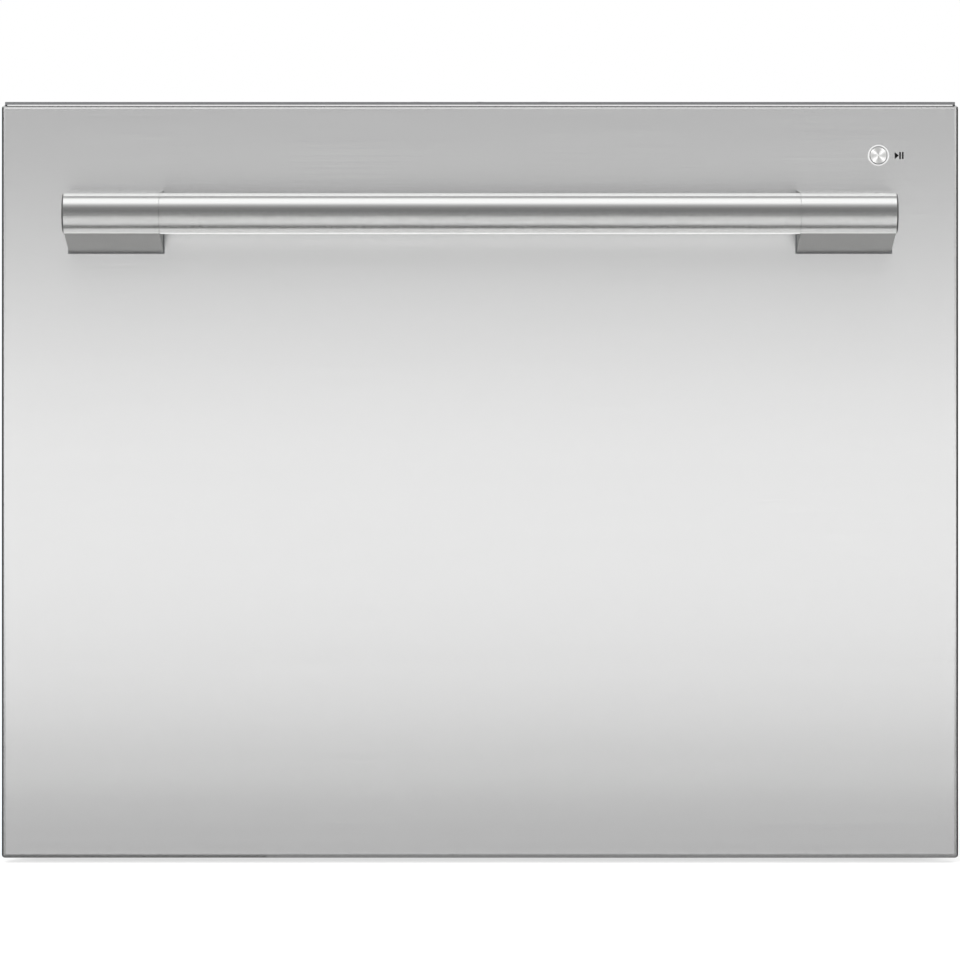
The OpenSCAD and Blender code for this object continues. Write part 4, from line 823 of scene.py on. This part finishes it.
# Fixed combs on the left
TINE_PITCH = 30
COMB_Z = 121.0 * MM
combs = []
for y in (-48.15 * MM, 41.85 * MM, 131.85 * MM):
    combs.append(bar("comb_wire", (-240 * MM, y, COMB_Z), (-48 * MM, y, COMB_Z), WIRE, 14, 1.2 * MM))
    for k in range(7):
        combs.append(tine("comb_tine", (-234 + TINE_PITCH * k) * MM, y, COMB_Z - 0.5 * MM, 197.5 * MM))
dress(joined("fixed_tines_piece", combs), coated_wire, "drawer", "fixed_tines")

# Folding rows on the right
for node in ("folding_tines_front", "folding_tines_rear"):
    low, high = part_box(node)
    y = (low.y + high.y) / 2
    row = [bar("row_shaft", (low.x, y, ROW_Z), (high.x, y, ROW_Z), SHAFT, 20, 0.8 * MM)]
    x = low.x + 6 * MM
    while x < high.x - 5 * MM:
        row.append(tine("row_tine", x, y, ROW_Z, high.z))
        x += TINE_PITCH * MM
    dress(joined(node + "_piece", row), coated_tines, node, node)

# Cup racks that fold up against the side walls
RACK, RACK_BAYS = 250, 8
for side, node in ((-1, "cup_rack_left"), (1, "cup_rack_right")):
    hinge, tip, across, z = side * HINGE_X, side * 157 * MM, side * 203 * MM, HINGE_Z
    y0, y1 = MID_Y - RACK / 2 * MM, MID_Y + RACK / 2 * MM
    near, far = y0 + 2 * MM, y1 - 2 * MM
    frame_x = tip + side * 0.2 * MM
    corners = [(hinge, near, z), (frame_x, near, z), (frame_x, far, z), (hinge, far, z)]
    rack = [bar("hinge_rod", (hinge, y0, z), (hinge, y1, z), SHAFT, 20, 0.8 * MM),
            wire("rack_frame", corners, WIRE, bend=14 * MM, sides=3)]
    for k in range(1, RACK_BAYS):
        y = y0 + k * RACK / RACK_BAYS * MM
        rack.append(bar("rack_wire", (hinge, y, z - 0.1 * MM), (tip, y, z - 0.1 * MM), 1.6 * MM))
    rack.append(bar("rack_runner", (across, near, z + 0.1 * MM), (across, far, z + 0.1 * MM), 1.7 * MM))
    dress(joined(node + "_piece", rack), coated_tines, node, node)

# ---------------------------------------------------------------- wash system

SPRAY_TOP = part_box("spray_arm")[1].z
arm = rounded(from_cad("spray_arm", "arm_body"), 2.4, 4, 50)
jets = [arm]
for side in (1, -1):
    for k in range(1, 5):
        # The jets stand left and right of the arm's middle line by turns
        x, y = (30 + 36 * k) * MM, (k % 2 * 2 - 1) * 5 * MM
        jets.append(turned("jet_ring", [
            (1.5, -1.5), (4, -1.5), (3.8, -0.5), (2.8, 0), (1.8, 0), (1.5, -0.3)],
            (side * x, MID_Y + side * y, SPRAY_TOP), 24))
jets.append(turned("hub_ring", [
    (12, -3), (24, -3), (23, -1), (20, 0), (14, 0), (12, -0.6)], (0, MID_Y, SPRAY_TOP)))
dress(joined("spray_arm_piece", jets), grey_plastic, "spray_arm", "spray_arm")

# The motor's can with five cooling fins, its neck and its shaft, in millimetres
can_low, can_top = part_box("wash_motor")[0].z / MM, 62
can, fin, neck, shaft, shaft_top = 60, 62, 21.8, 4, 82
profile = [(0, can_low + 2), (20, can_low + 2), (22, can_low), (can - 3, can_low), (can, can_low + 3)]
for k in range(5):
    z = can_low + 5 + 4.2 * k
    profile += [(can, z), (fin, z + 0.3), (fin, z + 1.6), (can, z + 1.9)]
profile += [(can, can_top - 4), (fin, can_top - 3.4), (fin, can_top - 0.6), (fin - 1, can_top),
            (neck, can_top), (neck, 66), (shaft, 66), (shaft, shaft_top - 1), (shaft - 0.8, shaft_top),
            (0, shaft_top)]
motor = [turned("motor_can", profile, (0, MID_Y, 0), 96)]
for k in range(6):
    rib = plate("motor_rib", (24 * MM, -1.5 * MM, can_low * MM),
                (54 * MM, 1.5 * MM, (can_low + 4) * MM), 0.6, 2)
    rib.data.transform(moved(0, MID_Y, 0) @ Matrix.Rotation(math.radians(60 * k), 4, "Z"))
    motor.append(rib)
dress(joined("wash_motor_piece", motor), grey_plastic, "drawer", "wash_motor")

# ---------------------------------------------------------------- dispenser details

cap_x, _, cap_z = middle("rinse_aid_cap")
cap_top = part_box("rinse_aid_cap")[1].y
seat = cap_top - 8 * MM
disc = turned("cap_disc", [
    (0, -9.4), (14, -9.4), (14, 0), (18, 0), (18, 2.8), (17.2, 4), (0, 4)], (0, 0, 0), 72, sharp=0)
NOTCHES, NOTCH_R = 24, 18.6 * MM
notches = []
for k in range(NOTCHES):
    turn = math.tau * k / NOTCHES
    x, y = NOTCH_R * math.cos(turn), NOTCH_R * math.sin(turn)
    notches.append(rod("notch", (x, y, -1 * MM), (x, y, 6 * MM), 1.5 * MM, 10))
cut(disc, joined("notches", notches))
disc.data.transform(moved(cap_x, seat, cap_z) @ Matrix.Rotation(-math.pi / 2, 4, "X"))
grip = plate("cap_grip", (cap_x - 14 * MM, seat + 3 * MM, cap_z - 2.5 * MM),
             (cap_x + 14 * MM, cap_top, cap_z + 2.5 * MM), 1.4, 4)
rinse_cap = joined("rinse_aid_cap_piece", [smooth(disc, 35), grip])
dress(rinse_cap, blue_plastic, "rinse_aid_cap", "rinse_aid_cap")

# ---------------------------------------------------------------- feet

# In millimetres: the pad's height, the nut's top, and the thread's end, root, crest and pitch
PAD_TOP, NUT_TOP, THREAD_TOP, ROOT, CREST, THREAD = 8, 13.4, 28.6, 4.3, 4.98, 1.25
for node in ("foot_front_left", "foot_front_right", "foot_rear_left", "foot_rear_right"):
    x, y, _ = middle(node)
    pad = turned("foot_pad", [
        (0, 0.6), (11, 0.6), (12, 0), (16.6, 0), (18, 1.6), (18, 3.4), (16.4, 4.6), (15.4, PAD_TOP),
        (0, PAD_TOP)], (x, y, 0), sharp=40)
    thread = [(0, PAD_TOP - 1), (4.5, PAD_TOP - 1)]
    z = NUT_TOP
    while z < THREAD_TOP:
        thread += [(ROOT, z), (CREST, z + 0.4), (CREST, z + 0.6), (ROOT, z + 1.0)]
        z += THREAD
    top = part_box(node)[1].z / MM
    thread += [(4.2, 29.4), (3.6, top), (0, top)]
    stem = turned("foot_stem", thread, (x, y, 0), 32, sharp=25)
    nut = rounded(rod("foot_nut", (x, y, 7.9 * MM), (x, y, NUT_TOP * MM), 9 * MM, 6), 0.7, 3, 25)
    dress(joined(node + "_piece", [pad, stem, nut]), foot_plastic, node, node)

# ---------------------------------------------------------------- sheet-metal details of the chassis

low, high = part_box("chassis_side_right")
SIDE_X, SHEET_F, SHEET_B = high.x, low.y, high.y
SIDE_BEAD = (18 * MM, 1.6 * MM)
HOOD_WIDTH = 4.6 * MM
VENTS = 4
# Vents stand 12 mm apart, each with a hood this far above its lower edge
VENT_PITCH, HOOD = 12, 6.6
screws, beads = [], []
first = cross_screw("runner_screw", (1, 0, 0), 4, 0.8)
for side in (-1, 1):
    turn = Matrix.Identity(4) if side > 0 else Matrix.Rotation(math.pi, 4, "Z")
    for back in (42, 267, 492):
        y = SHEET_F + back * MM
        screws.append(copied(first, "runner_screw", moved(side * SIDE_X, y, RUNNER_Z) @ turn))
    # Raised beads stiffen the side sheets, with smaller ones over the vents as rain hoods
    out = (side, 0, 0)
    x = side * SIDE_X
    for back in (60, 130, 200, 345, 415):
        y = SHEET_F + back * MM
        beads.append(bead("side_bead", (x, y, 232 * MM), (x, y, 430 * MM), *SIDE_BEAD, out))
        beads.append(bead("side_bead", (x, y, 46 * MM), (x, y, 120 * MM), *SIDE_BEAD, out))
    for k in range(VENTS):
        z = (260 + VENT_PITCH * k + HOOD) * MM
        beads.append(bead("vent_hood", (x, SHEET_B - 104 * MM, z), (x, SHEET_B - 36 * MM, z), HOOD_WIDTH,
                          1.3 * MM, out))
    # A narrow bead stiffens the back edge
    y = SHEET_B - 14 * MM
    beads.append(bead("edge_bead", (x, y, 40 * MM), (x, y, 440 * MM), 8 * MM, 1.0 * MM, out))
bpy.data.objects.remove(first)
dress(joined("chassis_screws_piece", screws), runner_steel, "chassis", "chassis_screws")
dress(joined("side_beads_piece", beads), galvanised, "chassis")

# Three long beads stiffen the top sheet, and screws along its sides close it
low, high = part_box("chassis_top")
TOP_Z = high.z
beads = []
for x in (-180 * MM, 0, 180 * MM):
    beads.append(bead("top_bead", (x, low.y + 60 * MM, TOP_Z), (x, high.y - 60 * MM, TOP_Z), 22 * MM,
                      1.0 * MM, (0, 0, 1)))
dress(joined("top_beads_piece", beads), galvanised, "chassis")
first = cross_screw("top_screw", (0, 0, 1), 3.6, 0.9)
screws = []
for side in (-1, 1):
    for y in (low.y + 30 * MM, (low.y + high.y) / 2, high.y - 30 * MM):
        screws.append(copied(first, "top_screw", moved(side * (high.x - 9 * MM), y, TOP_Z)))
bpy.data.objects.remove(first)
dress(joined("top_screws_piece", screws), runner_steel, "chassis")

# Grooves pressed into the back sheet, and hoods over its vents
BACK_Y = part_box("back_panel")[1].y
GROOVES = [
    # x and z of both ends in millimetres
    (-250, 130, -250, 430), (-210, 430, 250, 430), (250, 130, 250, 400), (-40, 40, -40, 250),
    (60, 140, 60, 250), (-210, 130, -210, 400)]
GROOVE = (14 * MM, 0.55 * MM)
grooves = []
for x0, z0, x1, z1 in GROOVES:
    start, end = (x0 * MM, BACK_Y, z0 * MM), (x1 * MM, BACK_Y, z1 * MM)
    grooves.append(bead("back_groove", start, end, *GROOVE, (0, 1, 0)))
smooth(cut(pieces["back_panel"], *grooves))
beads = []
y = BACK_Y - 0.9 * MM
for k in range(VENTS):
    z = (60 + VENT_PITCH * k + HOOD) * MM
    beads.append(bead("vent_hood", (116 * MM, y, z), (244 * MM, y, z), HOOD_WIDTH, 0.9 * MM, (0, 1, 0)))
dress(joined("vent_hoods_piece", beads), galvanised, "chassis")

# Shallow ribs on the moulded controller box, the service box and the lift housings
ribs = []
low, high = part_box("controller_box")
BOX_INSET = 8 * MM
for k in range(5):
    x = low.x + (20 + 20 * k) * MM
    ribs.append(plate("box_rib", (x - RIB * MM, low.y - 1.6 * MM, low.z + BOX_INSET),
                      (x + RIB * MM, low.y + 0.5 * MM, high.z - BOX_INSET), 0.6, 2))
for x in (low.x + BOX_INSET, high.x - BOX_INSET):
    for z in (low.z + BOX_INSET, high.z - BOX_INSET):
        ribs.append(turned("box_boss", [
            (0, -0.5), (4, -0.5), (4, 1), (3.4, 1.6), (1.6, 1.6), (1.6, 0.6), (0, 0.6)],
            (x, low.y, z), 24, forward=True))
low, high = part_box("service_box")
for k in range(7):
    x = low.x + (14 + 28 * k) * MM
    ribs.append(plate("box_rib", (x - 1 * MM, low.y + 3 * MM, high.z - 0.5 * MM),
                      (x + 1 * MM, high.y - 3 * MM, high.z + 1.2 * MM), 0.5, 2))
low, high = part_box("lid_actuators")
for side in (-1, 1):
    x = side * (high.x - 15.5 * MM)
    for k in range(4):
        y = MID_Y - 22 * MM + 14.6 * MM * k
        ribs.append(plate("lift_rib", (x - 1 * MM, y - 1 * MM, low.z + 5 * MM),
                          (x + 1 * MM, y + 1 * MM, high.z - 5 * MM), 0.5, 2))
dress(joined("moulded_ribs_piece", ribs), frame_plastic, "chassis")

# ---------------------------------------------------------------- corrugated hoses and the loom

# How far to the right, and how high, in millimetres, the points of a route stand
ROUTE = [
    (0, 84), (0, 119.9), (0, 160.1), (0, 200), (0, 239.9), (0, 275), (2, 300), (10, 323.9), (25, 342),
    (50, 350), (75, 342.9), (90, 326.7), (98, 305.3), (100, 282.9), (100, 251.5), (100, 215.8),
    (100, 180.1), (100, 144.3), (100, 112)]
HOSE_START, HOSE_END = 298.85 * MM, 263.85 * MM
# A plain end this long, the plain jacket's step, and how many rings of points a corrugation has
CUFF, PLAIN_STEP, RINGS = 12 * MM, 1 * MM, 4


def route(name, x):
    """The points of a smooth line along the looped route, from this place."""
    guide = bpy.data.curves.new(name + "_guide", "CURVE")
    guide.dimensions = "3D"
    spline = guide.splines.new("BEZIER")
    spline.bezier_points.add(len(ROUTE) - 1)
    for point, (across, height) in zip(spline.bezier_points, ROUTE):
        point.co = (x + across * MM, HOSE_START + across / 100 * (HOSE_END - HOSE_START), height * MM)
        point.handle_left_type = point.handle_right_type = "AUTO"
    spline.resolution_u = 16
    line = as_mesh(name + "_guide", guide)
    path = [v.co.copy() for v in line.data.vertices]
    bpy.data.objects.remove(line)
    return path


def hose(name, x, radius, pitch, depth):
    """A hose along its looped route. With a pitch it is corrugated, with none it is a plain jacket."""
    path = route(name, x)
    lengths = [0.0]
    for a, b in zip(path, path[1:]):
        lengths.append(lengths[-1] + (b - a).length)
    step = pitch / RINGS or PLAIN_STEP
    count = int(lengths[-1] / step)
    places, swell, k = [], [], 0
    for i in range(count + 1):
        reach = lengths[-1] * i / count
        while lengths[k + 1] < reach - 1e-9 and k < len(lengths) - 2:
            k += 1
        t = (reach - lengths[k]) / (lengths[k + 1] - lengths[k])
        places.append(path[k].lerp(path[k + 1], t))
        cuff = min(i, count - i) * step < CUFF
        swell.append(1.0 if cuff or not pitch or i % RINGS in (0, 1) else 1 - depth / radius)
    return smooth(wire(name, places, radius, sides=4, swell=swell), 60)


hoses = joined("hoses_piece", [hose("inlet_hose", -252 * MM, 5.9 * MM, 0, 0),
                               hose("drain_hose", -186 * MM, 7.9 * MM, 5 * MM, 1.0 * MM),
                               hose("cable_loom", -126 * MM, 4.9 * MM, 3.2 * MM, 0.5 * MM)])
dressed(hoses, hose_plastic)
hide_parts("hoses")
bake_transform(hoses)

# ---------------------------------------------------------------- studio

EYE_DISTANCE = 3.6
EYE_HEIGHT = 239.7 * MM
# What the picture spans across at the front's face, in metres
PICTURE_WIDTH = 0.60094
SENSOR = 36
# The floor's own glow to the camera, and the world's strength for soft light on the object
FLOOR_GLOW = 0.62
SOFT_LIGHT = 0.62

floor_finish, tree, paint = new_material("pale_floor")
paint.inputs["Roughness"].default_value = 0.9
paint.inputs["Specular IOR Level"].default_value = 0.0
patch = add(tree, "ShaderNodeTexNoise", {"Scale": 3.0, "Detail": 2.0},
            {"Vector": add(tree, "ShaderNodeTexCoord").outputs["Object"]})
shade = add(tree, "ShaderNodeMix", {"A": colour("#cfcfce"), "B": colour("#d3d3d2")},
            {"Factor": patch.outputs["Fac"]}, data_type="RGBA")
tree.links.new(shade.outputs["Result"], paint.inputs["Base Color"])
path = add(tree, "ShaderNodeLightPath")
lift = add(tree, "ShaderNodeMath", {1: FLOOR_GLOW}, {0: path.outputs["Is Camera Ray"]}, operation="MULTIPLY")
glow = add(tree, "ShaderNodeEmission", {"Color": (1, 1, 1, 1)}, {"Strength": lift.outputs[0]})
shown = add(tree, "ShaderNodeAddShader", {}, {0: paint.outputs["BSDF"], 1: glow.outputs["Emission"]})
tree.links.new(shown.outputs["Shader"], tree.nodes["Material Output"].inputs["Surface"])
bpy.ops.mesh.primitive_plane_add(size=40, location=(0, 0, 0))
floor = named("floor")
floor.data.materials.append(floor_finish)


def lit_only(obj, pieces, kept="INCLUDE"):
    """The screen shines on these pieces alone, or with EXCLUDE on all but these."""
    group = bpy.data.collections.new(obj.name + "_pieces")
    for piece in pieces:
        group.objects.link(piece)
    for item in group.collection_objects:
        item.light_linking.link_state = kept
    obj.light_linking.receiver_collection = group


def cloth(obj, pieces, kept="INCLUDE"):
    """Makes obj a glowing cloth that is only seen in reflections, and returns its node tree and emission.
    One that shines on some pieces alone is clear to all else."""
    material, tree, surface = new_material(obj.name + "_cloth")
    tree.nodes.remove(surface)
    glow = add(tree, "ShaderNodeEmission", {"Strength": 1.0})
    shader = glow.outputs["Emission"]
    if kept == "INCLUDE":
        clear = add(tree, "ShaderNodeBsdfTransparent").outputs["BSDF"]
        shader = add(tree, "ShaderNodeAddShader", {}, {0: shader, 1: clear}).outputs["Shader"]
    tree.links.new(shader, tree.nodes["Material Output"].inputs["Surface"])
    obj.data.materials.append(material)
    obj.visible_camera = False
    obj.visible_diffuse = False
    obj.visible_shadow = False
    obj.visible_transmission = False
    lit_only(obj, pieces, kept)
    return tree, glow


# The angles, in degrees, that a screen's list of brightness runs between
FIRST, LAST = -120, 180


def screen(name, stops, pieces, radius, width, kept="INCLUDE"):
    """A cloth bent round the handle and laid out below it: stops give its brightness at angles above the
    horizon, 0 in front of the drawer and 90 overhead. One for some pieces alone has open ends."""
    bpy.ops.mesh.primitive_cylinder_add(vertices=180, radius=radius, depth=width, location=(0, BAR_Y, BAR_Z),
                                        rotation=(0, math.pi / 2, 0))
    obj = named(name)
    in_edit(obj, (bpy.ops.mesh.bisect, {"plane_co": (0, 0, 2 * MM), "plane_no": (0, 0, 1),
                                        "clear_inner": True, "use_fill": True}))
    if kept == "INCLUDE":
        faces_out(obj, lambda face: abs(face.normal.x) > 0.9)
    tree, glow = cloth(obj, pieces, kept)
    place = add(tree, "ShaderNodeTexCoord").outputs["Object"]
    place = add(tree, "ShaderNodeSeparateXYZ", {}, {"Vector": place})
    out = add(tree, "ShaderNodeMath", {0: BAR_Y}, {1: place.outputs["Y"]}, operation="SUBTRACT")
    up = add(tree, "ShaderNodeMath", {1: BAR_Z}, {0: place.outputs["Z"]}, operation="SUBTRACT")
    angle = add(tree, "ShaderNodeMath", {}, {0: up.outputs[0], 1: out.outputs[0]}, operation="ARCTAN2")
    ends = {"From Min": math.radians(FIRST), "From Max": math.radians(LAST)}
    share = add(tree, "ShaderNodeMapRange", ends, {"Value": angle.outputs[0]})
    ramp = add(tree, "ShaderNodeValToRGB", {}, {"Fac": share.outputs["Result"]})
    bands = ramp.color_ramp.elements
    for i, (degrees, light) in enumerate(stops):
        stop = bands[i] if i < 2 else bands.new(1.0)
        stop.position = (degrees - FIRST) / (LAST - FIRST)
        stop.color = (light, light, light, 1)
    tree.links.new(ramp.outputs["Color"], glow.inputs["Color"])
    return obj


handle = [pieces["handle_bar"], pieces["handle_end_left"], pieces["handle_end_right"]]
steel_front = [pieces["front_panel"]]

# White tent over a pale floor: everything but the steel front and the round handle mirrors it
TENT_BANDS = [(FIRST, 0.45), (-10, 0.45), (-7, 1.0), (LAST, 1.0)]
screen("tent", TENT_BANDS, handle + steel_front, radius=2.9, width=18.0, kept="EXCLUDE")
# Bands of light and shade that the round handle mirrors
HANDLE_BANDS = [
    (-76, 0), (-68, 0.45), (-58, 0.9), (-44, 0.52), (-32, 0.72), (-24, 0.57), (-17, 0.14), (-11, 0.01),
    (-6, 0.39), (-1, 0.2), (5, 0.24), (12, 0.17), (20, 0.24), (28, 0.18), (35, 0.35), (41, 0.38), (47, 0.52),
    (53, 0.81), (59, 1.26), (66, 1.15), (78, 1.21), (88, 1.2), (94, 0.43), (99, 0.47), (106, 0.13),
    (114, 0.86), (130, 1.6)]
screen("handle_screen", HANDLE_BANDS, handle, radius=2.7, width=16.0)
# The light that the ground sheet throws back at the underside of the handle
BOUNCE_SIZE = (0.58, 0.38)
bpy.ops.mesh.primitive_plane_add(size=1, location=(0, PANEL_Y - 2 * MM, 0.2), rotation=(math.pi / 2, 0, 0))
bpy.context.object.scale = (*BOUNCE_SIZE, 1)
cloth(named("bounce"), handle)[1].inputs["Strength"].default_value = 0.45
# A soft bank of light low in front, which the ground sheet spreads into its bright middle
BANK = 1.34
PANEL_BANDS = [
    (-100, 0.14), (-90, 0.69), (-82, 0.87), (-72, 0.37), (-60, 0.05), (-48, 0.22), (-38, 0.59), (-30, 0.82),
    (-27, BANK), (-3, BANK), (1, 0.74), (7, 0.03), (14, 0.23), (26, BANK)]
screen("panel_screen", PANEL_BANDS, steel_front, radius=0.8, width=4.4)

world = bpy.data.worlds.new("studio")
bpy.context.scene.world = world
world.use_nodes = True
tree = world.node_tree
path = add(tree, "ShaderNodeLightPath")
seen = add(tree, "ShaderNodeMath", {}, {0: path.outputs["Is Camera Ray"], 1: path.outputs["Is Glossy Ray"]},
           operation="MAXIMUM")
seen = add(tree, "ShaderNodeMath", {}, {0: seen.outputs[0], 1: path.outputs["Is Transmission Ray"]},
           operation="MAXIMUM")
power = add(tree, "ShaderNodeMapRange", {"To Min": SOFT_LIGHT, "To Max": 1.0}, {"Value": seen.outputs[0]})
backdrop = tree.nodes["Background"]
backdrop.inputs["Color"].default_value = (1, 1, 1, 1)
tree.links.new(power.outputs["Result"], backdrop.inputs["Strength"])


def lamp(name, place, aim, size, watts):
    """A soft square lamp that the camera doesn't see."""
    light = bpy.data.lights.new(name, "AREA")
    light.shape = "SQUARE"
    light.size = size
    light.energy = watts
    obj = placed(name, light)
    obj.location = place
    obj.rotation_euler = (Vector(aim) - Vector(place)).to_track_quat("-Z", "Y").to_euler()
    obj.visible_camera = False
    return obj


for name, place, size, watts in (("key", (-1.3, -2.2, 2.6), 1.6, 34), ("fill", (1.8, 1.6, 2.4), 1.8, 16)):
    lamp(name, place, (0, 0, 0.2), size, watts).visible_glossy = False
# Two small lamps, this far from the spun cap, draw the cross of light on it
ASIDE, BEFORE, ABOVE = 0.68, 1.15, 0.68
for side in (-1, 1):
    place = Vector(BUTTON) + Vector((side * ASIDE, -BEFORE, ABOVE))
    lit_only(lamp(f"cap_lamp_{side + 1}", place, BUTTON, 0.45, 11), [start_cap])

lens = bpy.data.cameras.new("camera")
lens.sensor_width = SENSOR
lens.lens = SENSOR * EYE_DISTANCE / PICTURE_WIDTH
lens.clip_start = 0.1
lens.clip_end = 60
camera = placed("camera", lens)
camera.location = (0.0, PANEL_Y - EYE_DISTANCE, EYE_HEIGHT)
camera.rotation_euler = (math.radians(90), 0, 0)
bpy.context.scene.camera = camera
bpy.context.scene.view_settings.view_transform = "Standard"
